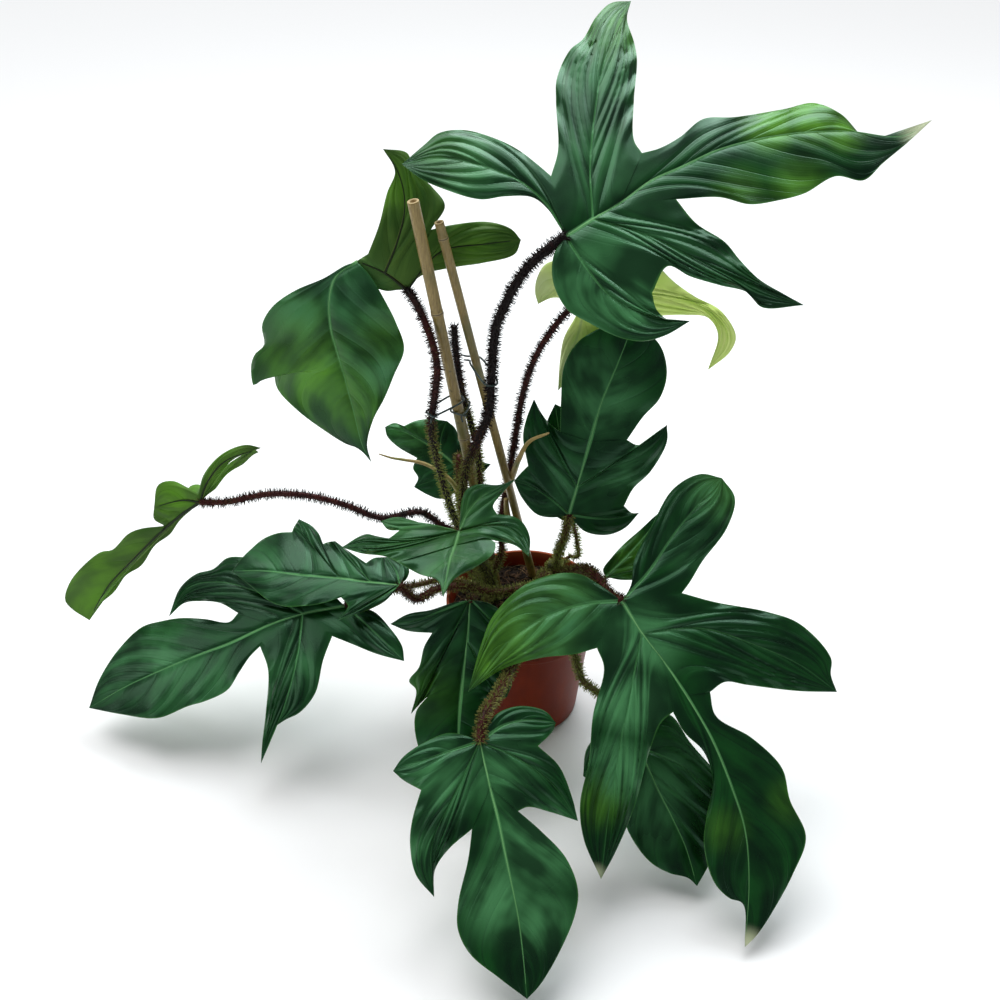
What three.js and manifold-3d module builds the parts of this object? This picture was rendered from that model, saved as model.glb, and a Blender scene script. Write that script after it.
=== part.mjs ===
// A potted climbing philodendron with bristly leaf stalks. Millimetres, +Z up, origin at the centre of the
// pot's base. The leaves are traced: a traced point is a photograph pixel and a depth y, and it lies where
// the sight line of that pixel reaches that depth.
import * as THREE from 'three';
import { mergeVertices } from 'three/addons/utils/BufferGeometryUtils.js';
import Module from 'manifold-3d';

const wasm = await Module();
wasm.setup();

// the view that the tracing was done in
const pictureCentre = 500;
const focalPixels = 1250;
const viewDrop = THREE.MathUtils.degToRad(35.5);
const eye = new THREE.Vector3(-26.5, -1045.6, 1026.2);

// pot and soil
const potHeight = 150;
const potRimRadius = 85;
const potCollarRadius = 81;
const potCollarHeight = 24;
const potNeckRadius = 75;
const potBaseRadius = 61;
const potWall = 2;
const potFloor = 3;
const drainRadius = 5;
const drainRing = 38;
const soilTop = 136;
const soilEdgeTop = 133;
const seatGap = 0.3;

// leaves
const bladeThickness = 1.2;
const marginDrop = 4;
const liftBlend = 0.08;
const bristleLength = 3.6;
const bristleRadius = 0.75;
const bristleSink = 1.3;
const bristleSpacing = 9;

// canes, stems and ties
const caneLeftRadius = 5.8;
const caneMiddleRadius = 4.6;
const caneBoreDepth = 12;
const caneBuried = 50;
const stemRadius = 8;
const wireRadius = 0.9;

const green = (colour) => new THREE.MeshStandardMaterial({ color: colour, roughness: 0.35, metalness: 0 });
const materials = {
  blade: green(0x1f5229),
  lime: green(0x9fc04a),
  pale: green(0x4b8a45),
  stalk: new THREE.MeshStandardMaterial({ color: 0x2a1a14, roughness: 0.8, metalness: 0 }),
  stem: new THREE.MeshStandardMaterial({ color: 0x5b6a34, roughness: 0.8, metalness: 0 }),
  cane: new THREE.MeshStandardMaterial({ color: 0x96793f, roughness: 0.6, metalness: 0 }),
  sheath: new THREE.MeshStandardMaterial({ color: 0xa8904e, roughness: 0.7, metalness: 0 }),
  wire: new THREE.MeshStandardMaterial({ color: 0x1d2b22, roughness: 0.4, metalness: 0 }),
  pot: new THREE.MeshStandardMaterial({ color: 0x8a3b24, roughness: 0.6, metalness: 0 }),
  soil: new THREE.MeshStandardMaterial({ color: 0x241810, roughness: 0.95, metalness: 0 }),
};

// Each blade is traced in photograph pixels. midrib runs from the stalk to the leaf tip. Each side lists its
// lobes from the stalk outwards: root and seam are numbers of midrib points, rib is the lobe's own main vein,
// back and front are its margins, and sinus is the notch before the next lobe. edge closes the end lobe.
// depth is the base's y in mm, turn and rise point the upper face, droop and arch bend it down along and across,
// and lift raises what lies behind the stalk.
const leaves = [
  {
    name: 'top', depth: 0, turn: 5, rise: 50, droop: 0.10, arch: 0.16,
    midrib: '566,236 593,219 620,203 650,181 681,167 720,149 781,135 845,131 903,136 932,120',
    sides: [
      { lobes: [
        { root: 0, rib: '549,206 520,181 480,165 440,158', tip: '402,164',
          back: '560,227 547,208 532,197 505,196 480,199 442,188 420,178',
          front: '424,145 439,133 464,130 494,138 517,149 537,164', sinus: '551,176', seam: 0 },
        { root: 1, rib: '590,170 594,120 602,70 616,32', tip: '631,1',
          back: '558,150 556,100 557,78 570,50 583,39 596,17 611,3',
          front: '627,19 634,42 637,60 634,100 634,140', sinus: '642,153', seam: 2 },
      ], edge: '660,148 680,137 703,119 735,117 784,109 814,103 841,114 868,140 884,136 902,130' },
      { lobes: [
        { root: 0, rib: '585,265 610,295 650,316', tip: '690,321',
          back: '554,254 553,281 567,309 588,322 619,337 643,341 666,335',
          front: '671,321 657,310', sinus: '652,293', seam: 0 },
        { root: 1, rib: '640,232 690,256 740,280', tip: '804,305',
          back: '668,266 690,276 720,285 747,292 762,307',
          front: '784,294 759,279 740,260 725,242 696,223', sinus: '676,199', seam: 2 },
      ], edge: '720,197 750,204 779,200 805,193 836,176 864,180 883,163 907,143' },
    ],
  },
  {
    name: 'lime', depth: 80, turn: 0, rise: 5, droop: 0.06, arch: 0.10,
    midrib: '585,298 600,262 618,222 634,178',
    sides: [
      { lobes: [
        { root: 0, rib: '562,286', tip: '538,304', back: '570,299 552,298',
          front: '535,292 537,278 546,264', sinus: '572,258', seam: 1 },
      ], edge: '582,232 596,200' },
      { lobes: [
        { root: 0, rib: '578,335 566,362', tip: '558,391', back: '576,316 564,338 560,360',
          front: '574,372 592,345', sinus: '612,320', seam: 0 },
        { root: 0, rib: '640,296 690,300 722,328', tip: '708,370', back: '645,317 685,315 708,318 718,335',
          front: '730,352 736,336 721,311 694,296 671,279', sinus: '650,255', seam: 1 },
      ], edge: '655,220' },
    ],
  },
  {
    name: 'folded', depth: 40, turn: 0, rise: 8, droop: 0, arch: 0.12,
    midrib: '407,290 385,273 357,261',
    sides: [
      { lobes: [
        { root: 0, rib: '440,252 485,244', tip: '521,240', back: '413,282 425,274 456,267 483,263 515,254',
          front: '511,229 488,222 452,225', sinus: '430,230', seam: 0 },
        { root: 1, rib: '398,240 405,205 398,172', tip: '383,149', back: '445,206 432,187 414,170 407,153',
          front: '395,171 387,193 379,225', sinus: '368,254', seam: 1 },
      ], edge: '' },
      { lobes: [], edge: '398,290 386,291 372,285' },
    ],
    flap: {
      depth: 44, turn: -14, rise: 17, droop: 0.10, arch: 0.14,
      midrib: '357,262 336,276 329,300 331,330 340,362 352,405 363,447 371,462',
      sides: [
        { lobes: [], edge: '346,265 324,278 294,291 272,307 262,325 264,345 255,354 251,366 254,386 264,372'
          + ' 272,364 277,388 297,410 325,431 346,444 360,449' },
        { lobes: [], edge: '370,276 385,301 396,323 404,349 394,375 384,399 373,420 367,445' },
      ],
    },
  },
  {
    name: 'middle', depth: -10, turn: 0, rise: 20, droop: 0.06, arch: 0.12,
    midrib: '569,514 577,487 590,442 601,404 618,363 634,322',
    sides: [
      { lobes: [
        { root: 0, rib: '550,498 530,486', tip: '514,481', back: '560,517 538,515 522,498',
          front: '520,474', sinus: '528,466', seam: 0 },
        { root: 1, rib: '560,458 546,430', tip: '534,399', back: '523,437 526,420', front: '542,414 550,424',
          sinus: '560,432', seam: 2 },
      ], edge: '561,400 564,366 577,343 596,330 615,322' },
      { lobes: [
        { root: 0, rib: '595,518 618,518', tip: '639,513', back: '584,531 607,535 625,528',
          front: '632,513', sinus: '624,506', seam: 0 },
        { root: 1, rib: '605,470 640,445', tip: '667,425', back: '633,489 651,471 667,442',
          front: '656,436 638,445', sinus: '627,440', seam: 2 },
      ], edge: '643,417 660,398 667,373 660,345' },
    ],
  },
  {
    name: 'hidden', depth: 30, turn: 0, rise: 15, droop: 0.05, arch: 0.10,
    midrib: '573,524 569,490 562,450 555,404',
    sides: [
      { lobes: [
        { root: 0, rib: '556,512', tip: '538,500', back: '560,519', front: '540,490', sinus: '552,486', seam: 1 },
      ], edge: '543,460 546,425' },
      { lobes: [
        { root: 0, rib: '595,510', tip: '615,492', back: '592,522 606,510', front: '604,482', sinus: '590,486',
          seam: 1 },
      ], edge: '592,455 584,428 566,410' },
    ],
  },
  {
    name: 'back', depth: 64, turn: 0, rise: 25, droop: 0.08, arch: 0.12,
    midrib: '458,468 440,452 420,440 402,431 385,427',
    sides: [
      { lobes: [
        { root: 0, rib: '475,466', tip: '491,464', back: '468,476 480,475', front: '484,463 476,455',
          sinus: '464,450', seam: 0 },
        { root: 1, rib: '441,436', tip: '447,421', back: '460,440 455,428', front: '430,419 415,421',
          sinus: '404,426', seam: 2 },
      ], edge: '394,423' },
      { lobes: [
        { root: 0, rib: '440,477', tip: '414,487', back: '457,490 441,499 428,495', front: '418,478 413,468',
          sinus: '417,458', seam: 1 },
      ], edge: '398,447 387,436' },
    ],
  },
  {
    name: 'pale', depth: -50, turn: 0, rise: 84, droop: 0.06, arch: 0.08, lift: 0.8,
    midrib: '459,531 455,545 450,560 446,580 443,597',
    sides: [
      { lobes: [
        { root: 0, rib: '430,524 404,521', tip: '381,521', back: '449,528 430,526 412,520 396,517',
          front: '388,529', sinus: '400,530', seam: 0 },
        { root: 0, rib: '430,538 395,543 368,543', tip: '342,547', back: '386,539 366,534',
          front: '362,553 385,556', sinus: '398,562', seam: 1 },
      ], edge: '420,574 438,580' },
      { lobes: [
        { root: 0, rib: '468,512 480,498 496,488', tip: '515,479', back: '460,518 461,503 467,489 480,484 500,485',
          front: '503,492 493,506', sinus: '497,514', seam: 0 },
        { root: 0, rib: '480,526 505,526 521,537', tip: '529,556', back: '515,517 524,524 530,538',
          front: '515,545 500,541', sinus: '483,538', seam: 1 },
      ], edge: '495,542 494,552 475,567 452,580' },
    ],
  },
  {
    name: 'far_left', depth: 0, turn: -10, rise: 15, droop: 0.04, arch: 0.06, twin: 62,
    midrib: '200,502 181,515 159,534 130,563 109,585 89,620',
    sides: [
      { lobes: [
        { root: 0, rib: '207,483 224,462', tip: '261,448', back: '210,488 222,471 234,459',
          front: '245,445 222,454 204,474', sinus: '198,494', seam: 0 },
        { root: 0, rib: '184,500', tip: '154,507', back: '186,487 172,481 158,485', front: '154,519',
          sinus: '165,526', seam: 2 },
      ], edge: '140,529 128,534 112,550 101,552 86,563 70,582 65,600 72,609' },
      { lobes: [], edge: '182,517 161,536 132,565 107,592 92,610' },
    ],
  },
  {
    name: 'left_upper', depth: -30, turn: -20, rise: 72, droop: 0.10, arch: 0.10,
    midrib: '399,585 370,582 340,578 300,575 265,571 232,571',
    sides: [
      { lobes: [
        { root: 0, rib: '396,572', tip: '386,557', back: '407,578 409,568 398,560', front: '374,558',
          sinus: '366,563', seam: 1 },
        { root: 1, rib: '350,558', tip: '335,541', back: '350,552', front: '328,542', sinus: '323,544', seam: 2 },
        { root: 2, rib: '314,548', tip: '299,519', back: '319,534 312,526', front: '294,527', sinus: '292,532',
          seam: 3 },
      ], edge: '278,533 263,539 251,549 241,559' },
      { lobes: [
        { root: 0, rib: '378,598 358,610', tip: '338,620', back: '386,600 372,608', front: '348,606',
          sinus: '341,597', seam: 1 },
      ], edge: '322,603 300,606 283,606 268,600 252,587' },
    ],
  },
  {
    name: 'left_lower', depth: -32, turn: -25, rise: 55, droop: 0.08, arch: 0.12,
    midrib: '345,606 302,614 271,624 230,643 198,655 157,672 125,687 89,708',
    sides: [
      { lobes: [
        { root: 1, rib: '262,594 220,582 188,588', tip: '169,616',
          back: '325,588 280,565 242,557 227,558 213,569 196,574 180,588', front: '184,603 200,601 220,603',
          sinus: '238,613', seam: 2 },
      ], edge: '229,622 205,619 181,618 162,621 142,627 118,650 99,680' },
      { lobes: [
        { root: 0, rib: '366,625 388,645', tip: '404,661', back: '373,611 390,628 402,646', front: '377,654 352,644',
          sinus: '332,636', seam: 1 },
        { root: 1, rib: '298,650 286,700', tip: '261,763', back: '323,660 315,693 300,712 283,721 269,733',
          front: '262,745 266,710 268,670', sinus: '260,646', seam: 2 },
      ], edge: '250,656 239,672 227,690 205,701 188,706 157,718 120,714' },
    ],
  },
  {
    name: 'pot_front', depth: -90, turn: -5, rise: 34, droop: 0.06, arch: 0.14,
    midrib: '470,600 467,641 463,678 460,705 458,740 456,790',
    sides: [
      { lobes: [
        { root: 0, rib: '440,612 415,621', tip: '390,624', back: '452,603 430,610 408,614', front: '408,631',
          sinus: '432,633', seam: 0 },
        { root: 0, rib: '450,640 430,680', tip: '411,714', back: '424,647 419,667 409,681 416,690',
          front: '420,704', sinus: '428,696', seam: 2 },
      ], edge: '416,712 416,738 430,770' },
      { lobes: [
        { root: 0, rib: '490,620', tip: '514,640', back: '488,603 505,615', front: '502,650', sinus: '490,655',
          seam: 1 },
        { root: 1, rib: '485,675', tip: '507,697', back: '506,668 512,682', front: '495,701', sinus: '484,698',
          seam: 3 },
      ], edge: '490,725 480,765' },
    ],
  },
  {
    name: 'front', depth: -239, turn: 0, rise: 50, droop: 0.06, arch: 0.14,
    midrib: '480,742 490,787 498,819 506,858 518,916 523,955 527,999',
    sides: [
      { lobes: [
        { root: 0, rib: '455,750 425,760', tip: '393,771', back: '470,737 449,733 425,742 403,757',
          front: '403,780', sinus: '421,790', seam: 0 },
        { root: 0, rib: '457,790 432,845', tip: '434,897', back: '412,821 410,845 416,875',
          front: '435,870 448,850', sinus: '472,829', seam: 1 },
      ], edge: '468,860 458,904 458,930 470,954 499,978' },
      { lobes: [
        { root: 0, rib: '505,725 530,720', tip: '556,723', back: '484,730 498,713 520,706 545,711',
          front: '552,732', sinus: '538,746', seam: 0 },
        { root: 0, rib: '515,757 553,785', tip: '578,821', back: '559,766 572,797', front: '550,812 528,807',
          sinus: '518,811', seam: 1 },
      ], edge: '541,831 566,858 578,890 575,915 558,955 540,985' },
    ],
  },
  {
    name: 'right', depth: -120, turn: 0, rise: 47, droop: 0.06, arch: 0.12,
    midrib: '622,601 642,633 662,659 686,695 712,740 732,788 745,830 749,880 745,947',
    sides: [
      { lobes: [
        { root: 0, rib: '585,604 545,617 505,645', tip: '468,692',
          back: '600,585 579,574 555,574 523,586 493,616 482,642', front: '503,669 540,658 575,654',
          sinus: '597,648', seam: 0 },
        { root: 1, rib: '632,685 620,745 610,805', tip: '601,879',
          back: '604,668 593,715 589,760 580,805 584,840', front: '616,851 634,808 650,750 661,723',
          sinus: '673,712', seam: 2 },
      ], edge: '685,733 704,752 713,782 707,815 704,845 714,882 729,898 743,904' },
      { lobes: [
        { root: 0, rib: '648,573 675,533 702,500', tip: '722,478',
          back: '631,585 634,560 652,525 673,489 700,474', front: '735,498 727,528 702,562 690,582',
          sinus: '682,593', seam: 0 },
        { root: 1, rib: '700,628 755,645 800,665', tip: '837,692',
          back: '715,602 768,612 800,624 831,658 831,675', front: '798,691 748,685 725,682',
          sinus: '710,692', seam: 3 },
      ], edge: '716,716 752,738 782,768 790,800 806,837 793,874 773,911 757,935' },
    ],
  },
  {
    name: 'right_low', depth: -160, turn: 0, rise: 50, droop: 0.06, arch: 0.12,
    midrib: '625,715 640,748 656,785 672,817 686,848 697,886',
    sides: [
      { lobes: [
        { root: 0, rib: '606,745', tip: '583,776', back: '608,725 587,748', front: '600,788', sinus: '614,795',
          seam: 1 },
      ], edge: '622,812 629,833 649,861 669,873 688,878' },
      { lobes: [
        { root: 1, rib: '680,765 715,795', tip: '742,812', back: '648,708 672,716 690,742 718,775',
          front: '724,832', sinus: '706,838', seam: 2 },
      ], edge: '711,858 704,874' },
    ],
  },
  {
    name: 'small', depth: -40, turn: 10, rise: 40, droop: 0.10, arch: 0.14,
    midrib: '606,577 625,558 645,536 668,506',
    sides: [
      { lobes: [], edge: '603,570 612,557 625,543 640,530 655,516' },
      { lobes: [
        { root: 0, rib: '640,570', tip: '668,566', back: '622,580 645,578', front: '664,554', sinus: '655,550',
          seam: 1 },
      ], edge: '668,530' },
    ],
  },
];
// Each stalk runs from its blade down to its stem. seen is traced as pixel x, pixel y and depth y, and hid is
// the stretch that leaves cover, in mm. on names the stem that it grows from.
const stalks = {
  top: { on: 'stem_left', radius: 4.3,
    seen: '566,236,0 552,246,-3 529,266,-5 514,287,-7 505,305,-8 497,323,-9 494,341,-10 491,384,-10'
      + ' 489,412,-10 476,443,-8 467,465,-4 462,497,2', hid: '-66,4,262 -58,4,228 -52,8,210' },
  lime: { on: 'stem_left', radius: 3.2,
    seen: '585,298,80 570,309,74 558,322,66 538,352,56 524,389,52 517,427,50 511,464,54 504,500,58',
    hid: '-26,40,216 -25,24,192 -36,12,172' },
  folded: { on: 'stem_left', radius: 3.6,
    seen: '407,290,40 414,300,30 426,325,12 435,354,0 437,372,-4 434,400,-6 431,425,-8 435,452,-12 450,505,-20'
      + ' 458,528,-24', hid: '-66,-18,232 -58,-4,200 -54,4,190' },
  middle: { on: 'stem_right', radius: 4.0, seen: '569,514,-10 566,532,0 559,550,16 555,566,32',
    hid: '31,40,166 28,34,150' },
  hidden: { on: 'stem_right', radius: 2.2, seen: '573,524,30 577,540,34 577,557,40', hid: '50,44,172 36,34,160' },
  back: { on: 'stem_left', radius: 3.0, seen: '458,468,64', hid: '-70,52,300 -70,34,268 -64,18,244' },
  pale: { on: 'stem_left', radius: 3.0, seen: '459,531,-50', hid: '-66,-44,258 -56,-22,204 -48,2,176' },
  far_left: { on: 'stem_left', radius: 3.2,
    seen: '200,502,0 225,502,0 270,494,0 310,496,0 345,505,0 382,518,0', hid: '-110,4,262 -84,12,236 -54,13,222' },
  left_upper: { on: 'stem_right', radius: 4.2, seen: '399,585,-30 417,599,-26 435,590,-24 460,586,-22 495,592,-12',
    hid: '4,6,160 24,26,150' },
  left_lower: { on: 'stem_left', radius: 3.2, seen: '345,606,-32', hid: '-160,-18,170 -118,-2,169 -84,10,167 -38,12,152' },
  pot_front: { on: 'stem_left', radius: 3.2, seen: '470,600,-90', hid: '-53,-78,204 -48,-50,174 -43,-20,157 -38,4,150' },
  front: { on: 'stem_right', radius: 4.6, seen: '480,742,-239 484,716,-220 497,695,-190 511,668,-150',
    hid: '-4,-110,190 8,-60,186 16,-10,178 22,16,170 25,24,158' },
  right: { on: 'stem_right', radius: 4.2, seen: '622,601,-120 610,594,-100', hid: '70,-70,236 60,-30,214 46,0,186 32,24,166' },
  right_low: { on: 'stem_right', radius: 3.6,
    seen: '625,715,-160 612,704,-146 597,692,-130 583,681,-116 578,667,-108 575,655,-102',
    hid: '40,-88,200 42,-56,186 38,-20,164 28,22,148' },
  small: { on: 'stem_right', radius: 1.8, seen: '606,577,-40 598,584,-30', hid: '66,-10,190 56,14,172 31,28,150' },
};

// The old stalk that was cut square, traced like the others.
const cutStalk = { on: 'stem_left', radius: 3.4,
  seen: '454,326,36 455,345,36 459,375,39 464,400,38 471,424,31 478,452,18 480,478,8',
  hid: '-42,4,262 -46,6,238' };
// tracing

const numbers = (text) => text.split(' ').filter(Boolean).map((item) => item.split(',').map(Number));

function sightLine(px, py) {
  const right = (px - pictureCentre) / focalPixels;
  const down = (py - pictureCentre) / focalPixels;
  const cos = Math.cos(viewDrop);
  const sin = Math.sin(viewDrop);
  return new THREE.Vector3(right, cos - sin * down, -sin - cos * down);
}

function traced([px, py, y]) {
  const sight = sightLine(px, py);
  return sight.multiplyScalar((y - eye.y) / sight.y).add(eye);
}

// solids

function solidFrom(geometry) {
  const bare = geometry.clone();
  bare.deleteAttribute('normal');
  bare.deleteAttribute('uv');
  const merged = mergeVertices(bare, 1e-4);
  return new wasm.Manifold(new wasm.Mesh({
    numProp: 3,
    vertProperties: Float32Array.from(merged.attributes.position.array),
    triVerts: Uint32Array.from(merged.index.array),
  }));
}

function geometryFrom(solid) {
  const mesh = solid.getMesh();
  const geometry = new THREE.BufferGeometry();
  geometry.setAttribute('position', new THREE.BufferAttribute(Float32Array.from(mesh.vertProperties), 3));
  geometry.setIndex(new THREE.BufferAttribute(Uint32Array.from(mesh.triVerts), 1));
  return geometry;
}

const largestPiece = (solid) => solid.decompose().sort((a, b) => b.volume() - a.volume())[0];

const clearOf = (solid, others) => others.reduce((rest, other) => rest.subtract(other), solid);

const joined = (solids) => solids.reduce((whole, solid) => whole.add(solid));

const group = new THREE.Group();

function place(name, solid, material) {
  const mesh = new THREE.Mesh(geometryFrom(largestPiece(solid)), material);
  mesh.name = name;
  group.add(mesh);
}

function polygonSection(radius, sides) {
  const corners = Array.from({ length: sides }, (_, k) => {
    const angle = (2 * Math.PI * k) / sides;
    return new THREE.Vector2(radius * Math.cos(angle), radius * Math.sin(angle));
  });
  return new THREE.Shape(corners);
}

// A tube along points; taper gives its thickness, 1 is full, at each share of its length.
function tube(points, radius, sides, stepLength, taper = () => 1) {
  const path = new THREE.CatmullRomCurve3(points, false, 'centripetal');
  const steps = Math.max(2, Math.round(path.getLength() / stepLength));
  const geometry = new THREE.ExtrudeGeometry(polygonSection(radius, sides), { steps, extrudePath: path });
  const centres = path.getSpacedPoints(steps);
  const corner = new THREE.Vector3();
  const position = geometry.attributes.position;
  for (let k = 0; k < position.count; k += 1) {
    corner.fromBufferAttribute(position, k);
    const distances = centres.map((centre) => centre.distanceTo(corner));
    const ring = distances.indexOf(Math.min(...distances));
    corner.sub(centres[ring]).multiplyScalar(taper(ring / steps)).add(centres[ring]);
    position.setXYZ(k, corner.x, corner.y, corner.z);
  }
  return solidFrom(geometry);
}

function turned(profile, segments) {
  return new THREE.LatheGeometry(profile.map(([r, z]) => new THREE.Vector2(r, z)), segments).rotateX(Math.PI / 2);
}

function seededRandom(seed) {
  let state = seed;
  return () => {
    state = (state * 1664525 + 1013904223) % 4294967296;
    return state / 4294967296;
  };
}

// blades

function bladeFrame(leaf, base) {
  const turn = THREE.MathUtils.degToRad(leaf.turn);
  const rise = THREE.MathUtils.degToRad(leaf.rise);
  const up = new THREE.Vector3(Math.sin(turn) * Math.cos(rise), -Math.cos(turn) * Math.cos(rise), Math.sin(rise));
  const midrib = numbers(leaf.midrib);
  const tipSight = sightLine(...midrib[midrib.length - 1]);
  const tip = eye.clone().addScaledVector(tipSight, up.dot(base.clone().sub(eye)) / up.dot(tipSight));
  const along = tip.clone().sub(base);
  const length = along.length();
  along.normalize();
  const across = up.clone().cross(along);
  return { base, up, along, across, length, leaf };
}

function bend(frame, s, w) {
  const { droop, arch, lift = 0 } = frame.leaf;
  const behind = Math.max(0, -s);
  return frame.length * ((lift * behind * behind) / (behind + liftBlend) - droop * s * s - arch * w * w);
}

// The place on the bent blade, lowered by drop, that a pixel's sight line meets.
function onBlade(frame, px, py, drop) {
  const sight = sightLine(px, py);
  const offset = frame.up.dot(frame.base.clone().sub(eye));
  const slope = frame.up.dot(sight);
  let height = 0;
  let place2d = [0, 0];
  for (let round = 0; round < 24; round += 1) {
    const spot = eye.clone().addScaledVector(sight, (offset + height) / slope).sub(frame.base);
    place2d = [spot.dot(frame.along), spot.dot(frame.across)];
    height = 0.5 * height + 0.5 * (bend(frame, place2d[0] / frame.length, place2d[1] / frame.length) - drop);
  }
  return { flat: new THREE.Vector2(...place2d), height };
}

// A lobe's margin hangs lower than its rib, most at mid length.
const margin = (text) => {
  const points = numbers(text);
  return points.map(([px, py], k) => [px, py, marginDrop * Math.sin((Math.PI * (k + 1)) / (points.length + 1))]);
};

const plain = (text) => numbers(text).map(([px, py]) => [px, py, 0]);

// The half lobes that a blade is made of, each a closed run of traced points.
function halfLobes(leaf) {
  const midrib = plain(leaf.midrib);
  const halves = [];
  leaf.sides.forEach((side) => {
    let seam = 0;
    let notch = [];
    side.lobes.forEach((lobe) => {
      const rib = [...plain(lobe.rib), ...plain(lobe.tip)];
      const sinus = plain(lobe.sinus);
      halves.push([...midrib.slice(seam, lobe.root + 1), ...rib, ...margin(lobe.back).reverse(), ...notch]);
      halves.push([...midrib.slice(lobe.root, lobe.seam + 1).reverse(), ...rib, ...margin(lobe.front), ...sinus]);
      seam = lobe.seam;
      notch = sinus;
    });
    halves.push([...midrib.slice(seam), ...margin(side.edge).reverse(), ...notch]);
  });
  return halves;
}

const signedArea = (a, b, c) => (b.x - a.x) * (c.y - a.y) - (b.y - a.y) * (c.x - a.x);

// One blade: both faces share one split into triangles, and a wall closes the rim between them.
function bladeSheet(frame, thickness) {
  const corners = [];
  const numberOf = new Map();
  const cornerAt = ([px, py, drop]) => {
    const key = `${px},${py}`;
    if (!numberOf.has(key)) {
      numberOf.set(key, corners.length);
      corners.push(onBlade(frame, px, py, drop));
    }
    return numberOf.get(key);
  };
  const triangles = [];
  halfLobes(frame.leaf).forEach((outline) => {
    const ring = outline.map(cornerAt);
    const flat = ring.map((number) => corners[number].flat);
    THREE.ShapeUtils.triangulateShape(flat, []).forEach(([a, b, c]) => {
      const facesUp = signedArea(flat[a], flat[b], flat[c]) > 0;
      triangles.push(facesUp ? [ring[a], ring[b], ring[c]] : [ring[a], ring[c], ring[b]]);
    });
  });
  const layer = (side) => corners.map(({ flat, height }) => frame.base.clone()
    .addScaledVector(frame.along, flat.x)
    .addScaledVector(frame.across, flat.y)
    .addScaledVector(frame.up, height + side * 0.5 * thickness));
  const count = corners.length;
  const faces = triangles.flatMap(([a, b, c]) => [[a, b, c], [a + count, c + count, b + count]]);
  const edges = new Set(triangles.flatMap(([a, b, c]) => [`${a} ${b}`, `${b} ${c}`, `${c} ${a}`]));
  edges.forEach((edge) => {
    const [a, b] = edge.split(' ').map(Number);
    if (!edges.has(`${b} ${a}`)) {
      faces.push([a + count, b + count, b], [a + count, b, a]);
    }
  });
  const points = [...layer(1), ...layer(-1)];
  const geometry = new THREE.BufferGeometry().setFromPoints(points);
  geometry.setIndex(faces.flat());
  return solidFrom(geometry);
}

// The half blade is turned about its midrib to make the half that faces away.
function twinHalf(frame, sheet, points) {
  const axis = points[points.length - 1].clone().sub(points[0]).normalize();
  const turn = new THREE.Matrix4().makeRotationAxis(axis, THREE.MathUtils.degToRad(frame.leaf.twin));
  const there = new THREE.Matrix4().makeTranslation(...points[0].toArray());
  const back = new THREE.Matrix4().makeTranslation(...points[0].clone().negate().toArray());
  return sheet.transform(there.multiply(turn).multiply(back).elements);
}

function bladeSolid(leaf, thickness) {
  const start = numbers(leaf.midrib)[0];
  const frame = bladeFrame(leaf, traced([...start, leaf.depth]));
  let solid = bladeSheet(frame, thickness);
  if (leaf.twin) {
    const rib = plain(leaf.midrib).map((point) => {
      const { flat, height } = onBlade(frame, ...point);
      return frame.base.clone().addScaledVector(frame.along, flat.x).addScaledVector(frame.across, flat.y)
        .addScaledVector(frame.up, height);
    });
    solid = solid.add(twinHalf(frame, solid, rib)).add(tube(rib.slice(0, -1), thickness, 5, 40));
  }
  if (leaf.flap) {
    solid = solid.add(bladeSolid({ ...leaf.flap, name: leaf.name }, thickness));
  }
  return solid;
}

// stalks

function bristles(path, radius, seed) {
  const random = seededRandom(seed);
  const length = path.getLength();
  const count = Math.round(length / bristleSpacing);
  const goldenAngle = Math.PI * (3 - Math.sqrt(5));
  const frames = path.computeFrenetFrames(count, false);
  return Array.from({ length: count }, (_, k) => {
    const angle = goldenAngle * k + 0.5 * random();
    const out = frames.normals[k].clone().multiplyScalar(Math.cos(angle))
      .addScaledVector(frames.binormals[k], Math.sin(angle))
      .addScaledVector(frames.tangents[k], 0.3 * (random() - 0.5)).normalize();
    const height = (bristleLength + bristleSink) * (0.85 + 0.3 * random());
    const spike = new THREE.ConeGeometry(bristleRadius, height, 3);
    spike.translate(0, height / 2 + radius - bristleSink, 0);
    spike.applyQuaternion(new THREE.Quaternion().setFromUnitVectors(new THREE.Vector3(0, 1, 0), out));
    spike.translate(...path.getPointAt((k + 0.5) / count).toArray());
    return solidFrom(spike);
  });
}

function stalkRoute({ seen, hid }) {
  return [...numbers(seen).map(traced), ...numbers(hid).map((point) => new THREE.Vector3(...point))];
}

const stalkTube = (stalk, grow) => tube(stalkRoute(stalk), stalk.radius + grow, 6, 15);

// The stalk is cut by what it grows from and carries, and its bristles by all that is near.
function stalkSolid(stalk, seed, ends, near) {
  const path = new THREE.CatmullRomCurve3(stalkRoute(stalk), false, 'centripetal');
  const spikes = clearOf(joined(bristles(path, stalk.radius, seed)), near);
  return clearOf(stalkTube(stalk, 0).add(spikes), ends);
}

// stems, canes and ties

const stems = {
  stem_left: [[-30, 12, 100], [-36, 12, 150], [-48, 10, 200], [-60, 10, 250], [-66, 12, 285]],
  stem_right: [[22, 28, 100], [26, 28, 140], [32, 28, 176]],
};

const canes = {
  cane_left: { radius: caneLeftRadius, top: '413,201,12', soil: '497,590,31', nodes: [0.2, 0.5, 0.78] },
  cane_middle: { radius: caneMiddleRadius, top: '439,222,24', soil: '533,577,53', nodes: [0.36, 0.62, 0.93] },
};

function stemSolid(route, grow) {
  return tube(route.map((point) => new THREE.Vector3(...point)), stemRadius + grow, 9, 18,
    (share) => 1 - 0.25 * share * share);
}

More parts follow.
